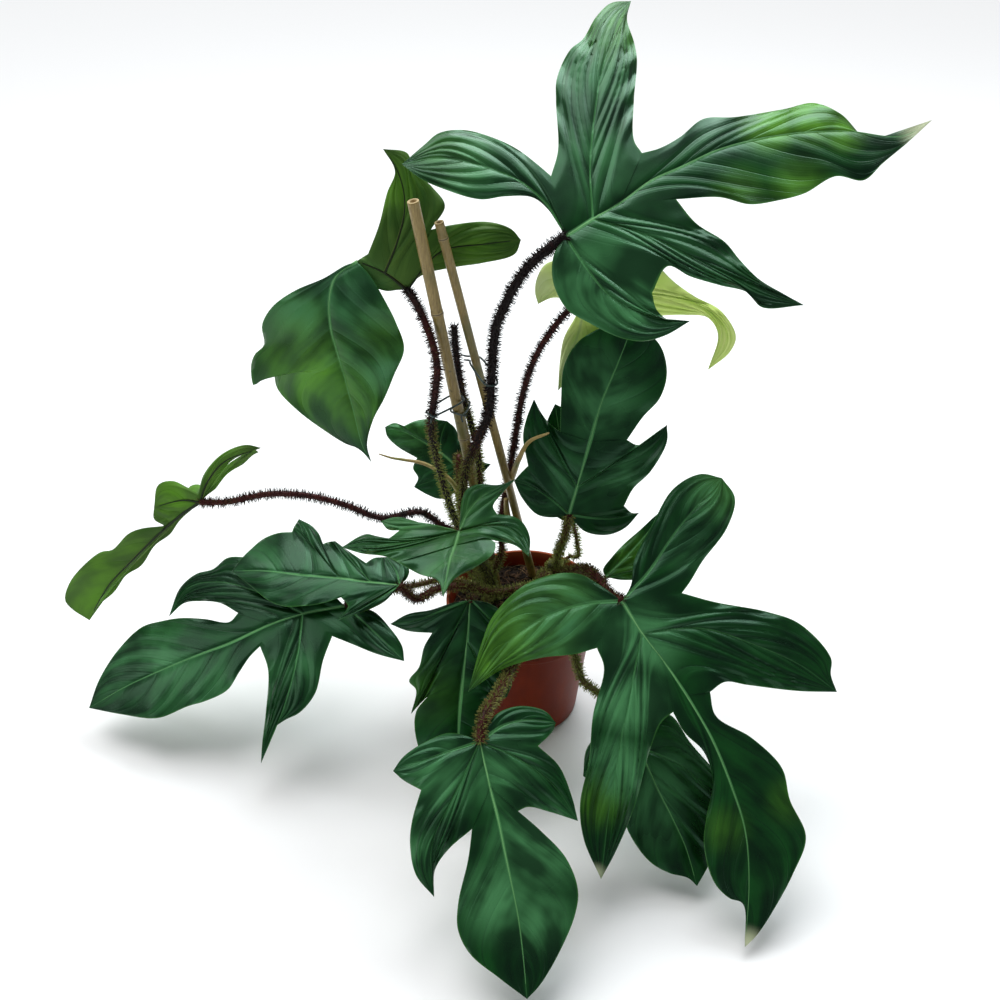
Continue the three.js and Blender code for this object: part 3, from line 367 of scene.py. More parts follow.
# Younger and yellower places, dry tips, and painted sheen, a lighter green put where the leaves show
# glossy reflection: pixel x, pixel y, radius in pixels and strength.
PATCHES = {
    'fresh': {
        'top': '815,108,46,2.0 770,120,42,1.5 846,126,34,1.5 800,190,46,0.7 740,195,40,0.5 612,25,55,0.8'
               ' 450,150,60,0.3',
        'folded': '395,185,45,0.8 470,240,60,0.55 310,370,70,1.3 350,400,60,1.2 300,330,50,0.8'
                  ' 380,340,50,0.6',
        'far_left': '215,465,45,0.8 172,500,36,1.2 90,590,70,1.0 130,540,40,0.5',
        'right': '520,630,80,0.9 490,660,50,1.1 560,600,50,0.6 598,800,40,0.6 725,830,34,0.35'
                 ' 790,800,34,0.35 720,490,40,0.5',
        'small': '628,558,40,0.7',
        'back': '410,435,40,0.3',
        'pale': '440,540,120,0.25',
        'pot_front': '430,690,50,0.25',
    },
    'dry': {
        'top': '925,126,34,1.0',
        'right': '747,944,22,0.9 596,874,14,0.8',
        'lime': '540,285,34,0.6 568,365,44,0.6',
    },
    # painted sheen: lighter green patches where the leaves show glossy reflection
    'bloom': {
        'top': '600,60,60,0.6 595,160,60,0.4 480,160,70,0.6 640,270,80,0.8 700,280,60,0.5 600,290,70,0.9'
               ' 640,310,50,0.9 585,275,50,1.0',
        'folded': '350,300,60,1.0 300,310,50,0.9 380,370,50,0.8 350,350,40,0.6',
        'right': '640,640,60,1.3 632,700,50,1.6 618,770,46,1.4 560,620,70,1.1 712,500,40,1.0'
                 ' 690,550,40,0.5 600,700,36,0.8',
        'front': '500,900,60,1.2 535,850,70,1.2 540,920,50,1.1 440,780,60,0.9 500,770,60,0.7'
                 ' 420,850,50,0.5',
        'middle': '600,400,60,1.0 590,370,50,0.8 560,480,50,0.6 620,470,50,0.7',
        'right_low': '655,800,70,0.8 680,760,50,0.5',
        'pale': '420,545,80,0.35 490,520,50,0.3',
        'left_lower': '150,660,80,0.8 210,690,70,0.6 290,660,60,0.5',
        'left_upper': '290,560,60,0.35 350,570,50,0.3',
        'pot_front': '460,640,50,0.2',
        'back': '400,440,40,0.6 450,480,40,0.4',
    },
}


# meshes

def mesh_object(name, points, faces, smooth=True):
    """A mesh object from points in mm, in place, with its object at the origin."""
    mesh = bpy.data.meshes.new(name)
    mesh.from_pydata((np.asarray(points) * MM).tolist(), [], faces)
    mesh.validate()
    mesh.update()
    mesh.polygons.foreach_set("use_smooth", [smooth] * len(mesh.polygons))
    made = bpy.data.objects.new(name, mesh)
    bpy.context.scene.collection.objects.link(made)
    return made


def tidy_faces(made):
    """Merges doubled points and turns all the faces outwards."""
    work = bmesh.new()
    work.from_mesh(made.data)
    bmesh.ops.remove_doubles(work, verts=work.verts, dist=MERGE_DISTANCE)
    bmesh.ops.dissolve_degenerate(work, edges=work.edges, dist=MERGE_DISTANCE)
    bmesh.ops.recalc_face_normals(work, faces=work.faces)
    work.to_mesh(made.data)
    work.free()


def finish_piece(made, finishes, slot, *nodes):
    """The piece gets its materials, and stands for these nodes of the model."""
    for finish in finishes:
        made.data.materials.append(finish)
    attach(made, "root")
    if nodes:
        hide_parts(*nodes)


def settle(made, modifier):
    """The object's mesh becomes what its modifier makes of it, and the modifier goes."""
    bpy.context.view_layer.update()
    now = bpy.context.evaluated_depsgraph_get()
    mesh = bpy.data.meshes.new_from_object(made.evaluated_get(now), preserve_all_data_layers=True,
                                           depsgraph=now)
    made.modifiers.remove(modifier)
    made.data = mesh


def path_frames(centres):
    """Two cross directions along a path, which never spin about it."""
    tangents = np.gradient(centres, axis=0)
    tangents /= np.linalg.norm(tangents, axis=1)[:, None]
    side = np.cross(tangents[0], (0.0, 0.0, 1.0))
    if np.linalg.norm(side) < 0.1:
        side = np.cross(tangents[0], (1.0, 0.0, 0.0))
    sides = [side / np.linalg.norm(side)]
    for tangent in tangents[1:]:
        side = sides[-1] - tangent * sides[-1].dot(tangent)
        sides.append(side / np.linalg.norm(side))
    return np.array(sides), np.cross(tangents, sides)


def circle(sides):
    return np.linspace(0, 2 * math.pi, sides, endpoint=False)


def tube_mesh(centres, radii, sides, wobble=None):
    """Points and faces of a closed round tube along centres, with flat ends."""
    angles = circle(sides)
    rings = []
    for k, (centre, across, over) in enumerate(zip(centres, *path_frames(centres))):
        reach = radii[k] * (np.ones(sides) if wobble is None else wobble(k / (len(centres) - 1), angles))
        rings.append(centre + np.outer(np.cos(angles) * reach, across) + np.outer(np.sin(angles) * reach, over))
    points = np.vstack(rings + [centres[:1], centres[-1:]])
    faces = []
    for k in range(len(centres) - 1):
        for j in range(sides):
            a = k * sides + j
            b = k * sides + (j + 1) % sides
            faces.append((a, b, b + sides, a + sides))
    start = len(centres) * sides
    last = start - sides
    for j in range(sides):
        faces.append((start, (j + 1) % sides, j))
        faces.append((start + 1, last + j, last + (j + 1) % sides))
    return points, faces


def turned_shape(name, profile, sides):
    """A closed shape turned about Z from radii and heights in mm, on the axis at both ends."""
    points = []
    faces = []
    rings = []
    for radius, z in profile:
        if radius == 0:
            rings.append([len(points)] * sides)
            points.append((0, 0, z))
        else:
            rings.append(list(range(len(points), len(points) + sides)))
            points.extend((radius * math.cos(a), radius * math.sin(a), z) for a in circle(sides))
    for low, high in zip(rings, rings[1:]):
        for k in range(sides):
            after = (k + 1) % sides
            faces.append(tuple(dict.fromkeys((low[k], low[after], high[after], high[k]))))
    return mesh_object(name, points, faces)


def add_values(made, name, values):
    """A number for each point of a mesh, which its material reads."""
    layer = made.data.attributes.new(name, 'FLOAT', 'POINT')
    layer.data.foreach_set("value", np.asarray(values, dtype=np.float32))


# blades

def blade_plane(leaf):
    """The plane that a leaf is traced on: its base, directions and length, in mm."""
    turn = math.radians(leaf['turn'])
    rise = math.radians(leaf['rise'])
    up = np.array((math.sin(turn) * math.cos(rise), -math.cos(turn) * math.cos(rise), math.sin(rise)))
    base = traced(leaf['midrib'][0] + [leaf['depth']])
    sight = sight_lines(np.array(leaf['midrib'][-1]))
    along = EYE + sight * up.dot(base - EYE) / up.dot(sight) - base
    length = np.linalg.norm(along)
    along = along / length
    return {'leaf': leaf, 'base': base, 'up': up, 'along': along, 'across': np.cross(up, along),
            'length': length}


def bend(plane, s, w):
    """How high the bent blade stands at s along and w across, both in leaf lengths."""
    leaf = plane['leaf']
    behind = np.maximum(0, -s)
    lifted = leaf.get('lift', 0) * behind * behind / (behind + LIFT_BLEND)
    return plane['length'] * (lifted - leaf['droop'] * s * s - leaf['arch'] * w * w)


def on_blade(plane, pixels, relief=0):
    """The places on the bent blade, raised by relief, that the pixels' sight lines meet."""
    pixels = np.array(pixels)
    sight = sight_lines(pixels)
    slope = sight @ plane['up']
    offset = plane['up'].dot(plane['base'] - EYE)
    height = np.zeros(len(pixels))
    for _ in range(SIGHT_ROUNDS):
        spot = EYE + sight * ((offset + height) / slope)[:, None] - plane['base']
        s = spot @ plane['along']
        w = spot @ plane['across']
        height = 0.5 * height + 0.5 * (bend(plane, s / plane['length'], w / plane['length']) + relief)
    return (plane['base'] + np.outer(s, plane['along']) + np.outer(w, plane['across'])
            + np.outer(height, plane['up']))


def line_pieces(points):
    """A smooth line through points, cut at each of them, with about one point for each row of the sheet."""
    points = np.array(points, dtype=float)
    if len(points) == 2:
        pieces = [smooth_line(points, count=25)]
    else:
        fine = smooth_line(points, count=30 * len(points))
        cuts = [int(np.argmin(np.linalg.norm(fine - point, axis=1))) for point in points]
        cuts[0] = 0
        cuts[-1] = len(fine) - 1
        pieces = []
        for k in range(len(points) - 1):
            piece = fine[cuts[k]:cuts[k + 1] + 1].copy()
            piece[0] = points[k]
            piece[-1] = points[k + 1]
            pieces.append(piece)
    return [smooth_line(piece, count=max(1, int(round(np.sum(steps_of(piece)) / ROW_PIXELS))) + 1)
            for piece in pieces]


def chained(pieces):
    """Pieces of a line joined end to end."""
    return np.vstack([pieces[0]] + [piece[1:] for piece in pieces[1:]])


def half_lobes(leaf):
    """Each half lobe: its inner line along the ribs and its outer line along the margin, both to the tip."""
    posts = leaf['midrib']
    midrib = line_pieces(posts)
    halves = []
    for side in leaf['sides']:
        seam = 0
        notch = posts[0]
        for lobe in side['lobes']:
            root = lobe['root']
            tip = lobe['rib'][-1]
            rib_posts = [posts[root]] + lobe['rib']
            rib = smooth_line(rib_posts, count=max(3, int(round(curve_length(rib_posts) / ROW_PIXELS))))
            back = chained(midrib[seam:root] + [rib])
            front = chained([piece[::-1] for piece in midrib[root:lobe['seam']]][::-1] + [rib])
            halves.append({'inner': back, 'outer': [notch] + lobe['back'] + [tip], 'veins': SIDE_VEINS})
            halves.append({'inner': front, 'outer': lobe['front'][::-1] + [tip], 'veins': SIDE_VEINS})
            seam = lobe['seam']
            notch = lobe['front'][-1]
        halves.append({'inner': chained(midrib[seam:]), 'outer': [notch] + side['edge'] + [posts[-1]],
                       'veins': END_VEINS})
    return halves


def evened(grid):
    """Evens out the inside of a grid of pixels, so that fewer of its faces fold over."""
    for _ in range(EVEN_ROUNDS):
        middle = 0.25 * (grid[:-2, 1:-1] + grid[2:, 1:-1] + grid[1:-1, :-2] + grid[1:-1, 2:])
        grid[1:-1, 1:-1] += 0.5 * (middle - grid[1:-1, 1:-1])
    return grid


def marked(pixels, patches):
    """How strongly each pixel lies in soft round patches, each an x, y, radius and strength."""
    strength = np.zeros(len(pixels))
    for x, y, radius, most in numbers(patches):
        near = np.clip(1 - np.hypot(pixels[:, 0] - x, pixels[:, 1] - y) / radius, 0, 1)
        strength = np.maximum(strength, most * near * near * (3 - 2 * near))
    return strength


def vein_starts(outward, share, kind):
    """How far along its rib each place's side vein starts. It leaves the rib and turns towards the tip."""
    low = np.full(outward.shape, -1.0)
    high = share.copy()
    for _ in range(VEIN_ROUNDS):
        start = 0.5 * (low + high)
        reach = kind['reach'] - kind['fall'] * start
        passes_outside = reach * (1 - np.exp((start - share) / kind['turn'])) > outward
        low = np.where(passes_outside, start, low)
        high = np.where(passes_outside, high, start)
    return np.maximum(start, 0)


def half_relief(half, along, share, across, outward, veins, wave_seed):
    """How far each place of a half lobe stands up, in mm: pleats, the rib's crease and a wavy margin."""
    near_rib = 1 - np.exp(-across / RIB_FADE)
    towards_tip = np.minimum(1, (1 - share) * 3)
    towards_margin = np.minimum(1, (1 - outward) * 4 + 0.15)
    pleat = np.abs(np.sin(math.pi * veins)) ** PLEAT_ROUNDNESS
    fold = half['veins']['pleat'] * near_rib * towards_tip * towards_margin * pleat
    puff = RIB_CREASE * near_rib * towards_tip
    ripple = np.sin(along / WAVE_LENGTH * 2 * math.pi + wave_seed)
    wave = WAVE_HEIGHT * outward ** 3 * ripple * np.minimum(1, share * 4) ** 2 * towards_tip
    drop = MARGIN_DROP * outward ** 2 * np.sin(math.pi * share) ** 2
    return fold + puff + wave - drop


def half_sheet(plane, half, wave_seed):
    """The grid of one half lobe: places in mm, and what its colours and veins are drawn from."""
    inner = half['inner']
    far = travelled(inner)
    outer = smooth_line(half['outer'], shares=far / far[-1])
    u = np.array(COLUMN_SHARES)[None, :, None]
    grid = evened(inner[:, None, :] * (1 - u) + outer[:, None, :] * u)
    shape = grid.shape[:2]
    pixels = grid.reshape(-1, 2)
    flat = on_blade(plane, pixels).reshape(*shape, 3)
    across = np.concatenate((np.zeros((shape[0], 1)),
                             np.cumsum(np.linalg.norm(np.diff(flat, axis=1), axis=2), axis=1)), axis=1)
    along = travelled(flat[:, 0])[:, None]
    share = along / along[-1]
    outward = np.array(COLUMN_SHARES)[None, :]
    full = {'outward': np.broadcast_to(outward, shape), 'share': np.broadcast_to(share, shape)}
    veins = vein_starts(full['outward'], full['share'], half['veins'])
    veins = veins * along[-1] / half['veins']['spacing'] + 0.5
    veins = veins + VEIN_UNEVENNESS * (np.sin(1.7 * veins + wave_seed) - math.sin(0.85 + wave_seed))
    relief = half_relief(half, along, share, across, outward, veins, wave_seed)
    places = on_blade(plane, pixels, (relief * plane['leaf'].get('relief', 1.0)).reshape(-1))
    values = {'veins': veins, 'across': across, 'share': full['share'], 'outward': full['outward']}
    values = {name: value.reshape(-1) for name, value in values.items()}
    for kind, patches in PATCHES.items():
        values[kind] = marked(pixels, patches.get(plane['leaf']['name'], ''))
    return places, shape, values


def sheet_points(plane, seed):
    """The whole upper face of a blade: points, faces, and values for its material."""
    points = []
    faces = []
    values = {}
    known = {}
    for number, half in enumerate(half_lobes(plane['leaf'])):
        places, (rows, columns), half_values = half_sheet(plane, half, seed + number // 2)
        index = []
        for k, place in enumerate(places):
            key = tuple(np.round(place, 2))
            if key not in known:
                known[key] = len(points)
                points.append(place)
                for name, value in half_values.items():
                    values.setdefault(name, []).append(value[k])
            index.append(known[key])
        for row in range(rows - 1):
            for column in range(columns - 1):
                a = row * columns + column
                corners = list(dict.fromkeys(index[k] for k in (a, a + 1, a + columns + 1, a + columns)))
                if len(corners) < 3:
                    continue
                spots = [points[corner] for corner in corners]
                facing = np.cross(spots[1] - spots[0], spots[2] - spots[0]).dot(plane['up'])
                if len(corners) == 4:
                    facing += np.cross(spots[2] - spots[0], spots[3] - spots[0]).dot(plane['up'])
                faces.append(tuple(corners if facing > 0 else corners[::-1]))
    return np.array(points), faces, {name: np.array(value) for name, value in values.items()}


def two_faced(points, faces, up, thickness):
    """The sheet as a closed thin blade: its upper faces, then its lower ones, then its rim."""
    count = len(points)
    edges = dict.fromkeys((a, b) for face in faces for a, b in zip(face, face[1:] + face[:1]))
    under = [tuple(corner + count for corner in face[::-1]) for face in faces]
    rim = [(a, a + count, b + count, b) for a, b in edges if (b, a) not in edges]
    return np.vstack((points, points - up * thickness)), faces + under + rim


def rib_tubes(plane, sheet_up):
    """The ribs of a blade as thin tubes sunk in it, proud mostly on its lower face."""
    midrib = plane['leaf']['midrib']
    lines = [(midrib, MIDRIB_RADII, 0.62)]
    for side in plane['leaf']['sides']:
        lines += [([midrib[lobe['root']]] + lobe['rib'], LOBE_RIB_RADII, 0.95) for lobe in side['lobes']]
    points = []
    faces = []
    shares = []
    for line, (thick, thin), sunk in lines:
        pixels = smooth_line(line, count=max(6, int(curve_length(line) / 5)))
        share = np.linspace(0, 1, len(pixels))
        radii = (thick + (thin - thick) * share ** 0.7) * np.minimum(1, (1 - share) * 8 + 0.3)
        kept = share < 0.96
        centres = on_blade(plane, pixels)[kept] - sheet_up * (radii[kept, None] * sunk)
        tube_points, tube_faces = tube_mesh(centres, radii[kept], 6)
        faces.extend(tuple(corner + len(points) for corner in face) for face in tube_faces)
        points.extend(tube_points)
        shares.extend(np.concatenate((np.repeat(share[kept], 6), (0.0, 1.0))))
    return points, faces, shares


def leaf_parts(leaf, seed):
    """The sheets and ribs of a leaf, as (points, faces, values, material numbers)."""
    plane = blade_plane(leaf)
    up = plane['up']
    sheet, faces, values = sheet_points(plane, seed)
    points, whole = two_faced(sheet, faces, up, LEAF_THICKNESS)
    doubled = {name: np.concatenate((value, value)) for name, value in values.items()}
    towards_eye, away, rib_side, rib_finish = (1, 0, -up, 3) if leaf.get('back_seen') else (0, 1, up, 2)
    finishes = [towards_eye] * len(faces) + [away] * len(faces) + [towards_eye] * (len(whole) - 2 * len(faces))
    parts = [(points, whole, doubled, finishes)]
    rib_points, rib_faces, rib_shares = rib_tubes(plane, rib_side)
    blank = {name: np.full(len(rib_points), 0.0 if name in PATCHES else 0.25) for name in values}
    blank['share'] = np.array(rib_shares)
    parts.append((np.array(rib_points), rib_faces, blank, [rib_finish] * len(rib_faces)))
    if 'twin' in leaf:
        midrib = on_blade(plane, leaf['midrib'])
        axis = Vector(midrib[-1] - midrib[0]).normalized()
        turn = np.array(Matrix.Rotation(math.radians(leaf['twin']), 3, axis))
        parts.append(((points - midrib[0]) @ turn.T + midrib[0], whole, doubled, finishes))
    if 'flap' in leaf:
        parts.extend(leaf_parts(leaf['flap'], seed + 5))
    return parts


def sharpen_rims(made):
    """A blade's rim is a crisp edge between its two faces."""
    normals = {}
    for polygon in made.data.polygons:
        for key in polygon.edge_keys:
            normals.setdefault(key, []).append(polygon.normal)
    sharp = [len(normals.get(edge.key, ())) == 2 and normals[edge.key][0].dot(normals[edge.key][1]) < 0.35
             for edge in made.data.edges]
    layer = made.data.attributes.new('sharp_edge', 'BOOLEAN', 'EDGE')
    layer.data.foreach_set('value', sharp)


def leaf_piece(leaf, finishes, seed):
    blocks, face_blocks, value_blocks, finish_blocks = zip(*leaf_parts(leaf, seed))
    starts = np.cumsum([0] + [len(block) for block in blocks])
    faces = [tuple(corner + int(start) for corner in face)
             for start, block in zip(starts, face_blocks) for face in block]
    made = mesh_object('leaf_' + leaf['name'], np.vstack(blocks), faces)
    made.data.polygons.foreach_set('material_index', sum(finish_blocks, []))
    sharpen_rims(made)
    for name in value_blocks[0]:
        add_values(made, name, np.concatenate([values[name] for values in value_blocks]))
    slot = {'lime': 'leaf_lime', 'pale': 'leaf_pale'}.get(leaf['name'], 'leaf_green')
    finish_piece(made, finishes, slot, 'blade_' + leaf['name'])


# materials

def join_up(tree, node, wires):
    """Sets or links a node's inputs, given by name or number. Colours are given as red, green and blue."""
    for name, value in wires.items():
        socket = node.inputs[name]
        if isinstance(value, bpy.types.NodeSocket):
            tree.links.new(value, socket)
        elif socket.type == 'RGBA':
            socket.default_value = (*value, 1)
        else:
            socket.default_value = value
    return node


def add_node(tree, kind, wires, **settings):
    node = tree.nodes.new(kind)
    for label, value in settings.items():
        setattr(node, label, value)
    return join_up(tree, node, wires)


def maths(tree, operation, *values, clamp=False):
    return add_node(tree, 'ShaderNodeMath', dict(enumerate(values)), operation=operation,
                    use_clamp=clamp).outputs[0]


def spread(tree, value, low, high, to_low=0.0, to_high=1.0):
    """A value's range low to high, taken softly to another range."""
    return add_node(tree, 'ShaderNodeMapRange', {0: value, 1: low, 2: high, 3: to_low, 4: to_high},
                    interpolation_type='SMOOTHSTEP').outputs[0]


def blended(tree, share, first, second):
    return add_node(tree, 'ShaderNodeMix', {0: share, 6: first, 7: second}, data_type='RGBA').outputs[2]


def layered(tree, colour, layers):
    """A colour with others laid over it in turn, each as strong as its share."""
    for share, over in layers:
        colour = blended(tree, share, colour, over)
    return colour


def clouds(tree, where, size, detail=3.0, roughness=0.5, stretch=(1, 1, 1)):
    """Soft noise of the given size in metres, stretched along an axis."""
    placed = add_node(tree, 'ShaderNodeMapping', {0: where, 3: stretch}).outputs[0]
    return add_node(tree, 'ShaderNodeTexNoise', {'Vector': placed, 'Scale': 1 / size, 'Detail': detail,
                                                 'Roughness': roughness}).outputs[0]


def in_place(tree):
    return add_node(tree, 'ShaderNodeTexCoord', {}).outputs['Object']


def value_of(tree, name):
    return add_node(tree, 'ShaderNodeAttribute', {}, attribute_name=name).outputs['Fac']


def bumped(tree, height, depth):
    return add_node(tree, 'ShaderNodeBump', {'Height': height, 'Distance': depth, 'Strength': 1.0}).outputs[0]


def new_tree(kind, name, inputs, outputs):
    """A node group, what its inputs give, and its end. Each input and output has a name and a kind."""
    tree = bpy.data.node_groups.new(name, kind)
    for in_out, sockets in (('INPUT', inputs), ('OUTPUT', outputs)):
        for label, socket_kind in sockets.items():
            tree.interface.new_socket(label, in_out=in_out, socket_type='NodeSocket' + socket_kind)
    return tree, tree.nodes.new('NodeGroupInput').outputs, tree.nodes.new('NodeGroupOutput')


def new_material(name, roughness, **fixed):
    """A material, its tree and its shader, whose own inputs get fixed values."""
    material = bpy.data.materials.new(name)
    material.use_nodes = True
    tree = material.node_tree
    wires = {label.replace('_', ' '): value for label, value in fixed.items()}
    return material, tree, join_up(tree, tree.nodes['Principled BSDF'], {'Roughness': roughness, **wires})


def leaf_vein_group():
    """Ribs, side veins and the grain of a leaf, from the values that its blade carries."""
    inputs = {**dict.fromkeys(('Veins', 'Across', 'Share', 'Outward'), 'Float'), 'Where': 'Vector'}
    outputs = dict.fromkeys(('Rib', 'Side Veins', 'Mottle', 'Height', 'Margin'), 'Float')
    tree, given, end = new_tree('ShaderNodeTree', 'leaf veins', inputs, outputs)
    rib_width = maths(tree, 'MULTIPLY_ADD', given['Share'], -2.2, 2.7)
    rib = spread(tree, maths(tree, 'DIVIDE', given['Across'], rib_width), 0.55, 1.0, 1.0, 0.0)
    side_veins = spread(tree, maths(tree, 'PINGPONG', given['Veins'], 0.5), 0.0, 0.05, 1.0, 0.0)
    between = maths(tree, 'PINGPONG', maths(tree, 'MULTIPLY', given['Veins'], 5.0), 0.5)
    small_veins = spread(tree, between, 0.0, 0.2, 1.0, 0.0)
    flow = add_node(tree, 'ShaderNodeCombineXYZ', {
        0: given['Veins'], 1: maths(tree, 'MULTIPLY', given['Share'], 1.6),
        2: maths(tree, 'MULTIPLY', given['Outward'], 0.5)})
    streaks = clouds(tree, flow.outputs[0], 0.9, roughness=0.55)
    patches = clouds(tree, given['Where'], 0.045, detail=2.0)
    speckle = clouds(tree, given['Where'], 0.0016, detail=2.0)
    mottle = maths(tree, 'MULTIPLY_ADD', patches, 0.38, maths(tree, 'MULTIPLY', streaks, 0.62))
    height = maths(tree, 'MULTIPLY', side_veins, -0.35)
    for part, amount in ((small_veins, -0.13), (speckle, 0.16), (rib, 0.5), (patches, 1.4)):
        height = maths(tree, 'MULTIPLY_ADD', part, amount, height)
    join_up(tree, end, {'Rib': rib, 'Side Veins': side_veins, 'Mottle': mottle, 'Height': height,
                        'Margin': spread(tree, given['Outward'], 0.965, 1.0)})
    return tree


LEAF_VEINS = leaf_vein_group()
FRESH_GREEN = (0.095, 0.270, 0.018)
# The green of the painted sheen, laid into the leaves' colour in place of a glossy reflection
PAINTED_SHEEN_GREEN = (0.062, 0.215, 0.080)
DRY_TIP = (0.62, 0.66, 0.42)
LEAF_BUMP = 0.0004


def leaf_material(name, dark, light, rib, margin, roughness, coat, gloss=(0.36, 0.92, 0.54)):
    """A waxy leaf face: dark and light greens in soft patches, pale ribs, sunk side veins darkened with painted
    shade, a thin paler margin, fresh and dry places, and patches of painted sheen that are also glossier."""
    material, tree, shader = new_material(name, roughness, Specular_IOR_Level=0.42, Coat_Weight=coat,
                                          Coat_Roughness=0.14, Specular_Tint=gloss)
    own = {label: value_of(tree, label.lower())
           for label in ('Veins', 'Across', 'Share', 'Outward', 'Fresh', 'Bloom', 'Dry')}
    wires = {label: own[label] for label in ('Veins', 'Across', 'Share', 'Outward')}
    veins = add_node(tree, 'ShaderNodeGroup', {**wires, 'Where': in_place(tree)}, node_tree=LEAF_VEINS).outputs
    mottle = veins['Mottle']
    fading = spread(tree, own['Share'], 0.0, 0.9, 0.9, 0.25)
    fresh_spots = spread(tree, mottle, 0.36, 0.60, 0.25, 1.0)
    painted_sheen_spots = spread(tree, mottle, 0.38, 0.60, 0.15, 1.0)
    colour = layered(tree, dark, [
        (spread(tree, mottle, 0.36, 0.66), light),
        # painted shade: the sunk side veins are darkened in their creases
        (maths(tree, 'MULTIPLY', veins['Side Veins'], 0.5), dark),
        (maths(tree, 'MULTIPLY', veins['Rib'], fading), rib),
        (maths(tree, 'MULTIPLY', veins['Margin'], 0.6), margin),
        (maths(tree, 'MULTIPLY', own['Fresh'], fresh_spots), FRESH_GREEN),
        # painted sheen: a lighter green laid where the leaves show glossy reflection
        (maths(tree, 'MULTIPLY', own['Bloom'], painted_sheen_spots), PAINTED_SHEEN_GREEN),
        (own['Dry'], DRY_TIP)])
    dull = spread(tree, mottle, 0.3, 0.75, roughness * 0.85, roughness * 1.3)
    dull = maths(tree, 'MULTIPLY', dull, spread(tree, own['Bloom'], 0.0, 1.0, 1.15, 0.80))
    join_up(tree, shader, {'Base Color': colour, 'Roughness': dull,
                           'Normal': bumped(tree, veins['Height'], LEAF_BUMP)})
    return material


def stalk_material(name, tone_name, dark, red, green, roughness, patch_size, patch_depth):
    """The skin or bristles of a stalk. Its tone runs from nearly black red at 0 to yellow green at 1."""
    material, tree, shader = new_material(name, roughness, Specular_IOR_Level=0.2)
    patches = clouds(tree, in_place(tree), patch_size)
    shift = maths(tree, 'MULTIPLY_ADD', patches, patch_depth, -0.5 * patch_depth)
    tone = maths(tree, 'ADD', value_of(tree, tone_name), shift, clamp=True)
    ramp = add_node(tree, 'ShaderNodeValToRGB', {0: tone})
    steps = ramp.color_ramp.elements
    steps.new(0.42)
    for step, place, colour in zip(steps, (0.12, 0.42, 0.85), (dark, red, green)):
        step.position = place
        step.color = (*colour, 1)
    fine = clouds(tree, in_place(tree), 0.0012, detail=2.0)
    join_up(tree, shader, {'Base Color': ramp.outputs[0], 'Normal': bumped(tree, fine, 0.0003)})
    return material


def fibrous_material(name, first, second, third, roughness, stretch, size, bump, spots=0.0, coat=0.0,
                     rings=False):
    """Dry plant matter, such as bamboo or a sheath: streaks along the grain in three colours, small dark
    spots, and pale and dark rings at a cane's nodes."""
    material, tree, shader = new_material(name, roughness, Coat_Weight=coat, Coat_Roughness=0.3)
    where = in_place(tree)
    streaks = clouds(tree, where, size, detail=5.0, roughness=0.65, stretch=stretch)
    broad = clouds(tree, where, size * 9, detail=2.0)
    layers = [(spread(tree, streaks, 0.36, 0.66), second), (spread(tree, broad, 0.45, 0.75), third)]
    if spots:
        dots = clouds(tree, where, size * 1.8, detail=4.0, roughness=0.7)
        layers.append((spread(tree, dots, 0.60, 0.68, 0.0, spots), (0.03, 0.018, 0.010)))
    if rings:
        ring = value_of(tree, 'ring')
        layers += [(spread(tree, ring, 0.05, 0.45, 0.0, 0.35), (0.50, 0.40, 0.20)),
                   (spread(tree, ring, 0.55, 0.95, 0.0, 0.9), (0.055, 0.032, 0.012))]
    colour = layered(tree, first, layers)
    dull = spread(tree, streaks, 0.3, 0.7, roughness * 1.15, roughness * 0.85)
    join_up(tree, shader, {'Base Color': colour, 'Roughness': dull, 'Normal': bumped(tree, streaks, bump)})
    return material


def pot_material():
    """Moulded brown-red plastic, with a painted highlight on the rim, darker patches towards the foot and faint
    scuffs.
    """
    material, tree, shader = new_material('pot_plastic', 0.42, Specular_IOR_Level=0.14,
                                          Specular_Tint=(1.0, 0.42, 0.28))
    where = in_place(tree)
    height = add_node(tree, 'ShaderNodeSeparateXYZ', {0: where}).outputs[2]
    streaks = clouds(tree, where, 0.02, detail=5.0, roughness=0.6, stretch=(1, 1, 0.35))
    # darker patches, stronger towards the foot of the pot
    darker_foot = clouds(tree, where, 0.011, detail=6.0, roughness=0.7)
    darker_foot = maths(tree, 'MULTIPLY', spread(tree, darker_foot, 0.52, 0.70), spread(tree, height, 0.06, 0.0, 0.10, 0.75))
    scuffs = clouds(tree, where, 0.003, detail=5.0, roughness=0.7, stretch=(1, 1, 6))
    colour = layered(tree, (0.135, 0.0150, 0.0050), [
        (spread(tree, streaks, 0.35, 0.7), (0.185, 0.0230, 0.0075)),
        # painted highlight: a lighter band along the top of the rim
        (spread(tree, height, 0.140, 0.150), (0.27, 0.062, 0.026)),
        (darker_foot, (0.035, 0.016, 0.009)),
        (spread(tree, scuffs, 0.66, 0.74, 0.0, 0.30), (0.40, 0.19, 0.12))])
    dull = maths(tree, 'MULTIPLY_ADD', streaks, 0.25, 0.30)
    join_up(tree, shader, {'Base Color': colour, 'Roughness': dull, 'Normal': bumped(tree, scuffs, 0.00015)})
    return material


def soil_material(name, dark, light, size, bump):
    """Damp potting mix: crumbs of dark peat and paler fibres."""
    material, tree, shader = new_material(name, 0.9, Specular_IOR_Level=0.1)
    where = in_place(tree)
    crumbs = clouds(tree, where, size, detail=6.0, roughness=0.7)
    shade = clouds(tree, where, size * 5)
    colour = layered(tree, dark, [(spread(tree, crumbs, 0.40, 0.72), light),
                                  (spread(tree, shade, 0.40, 0.75, 0.0, 0.6), dark)])
    join_up(tree, shader, {'Base Color': colour, 'Normal': bumped(tree, crumbs, bump)})
    return material


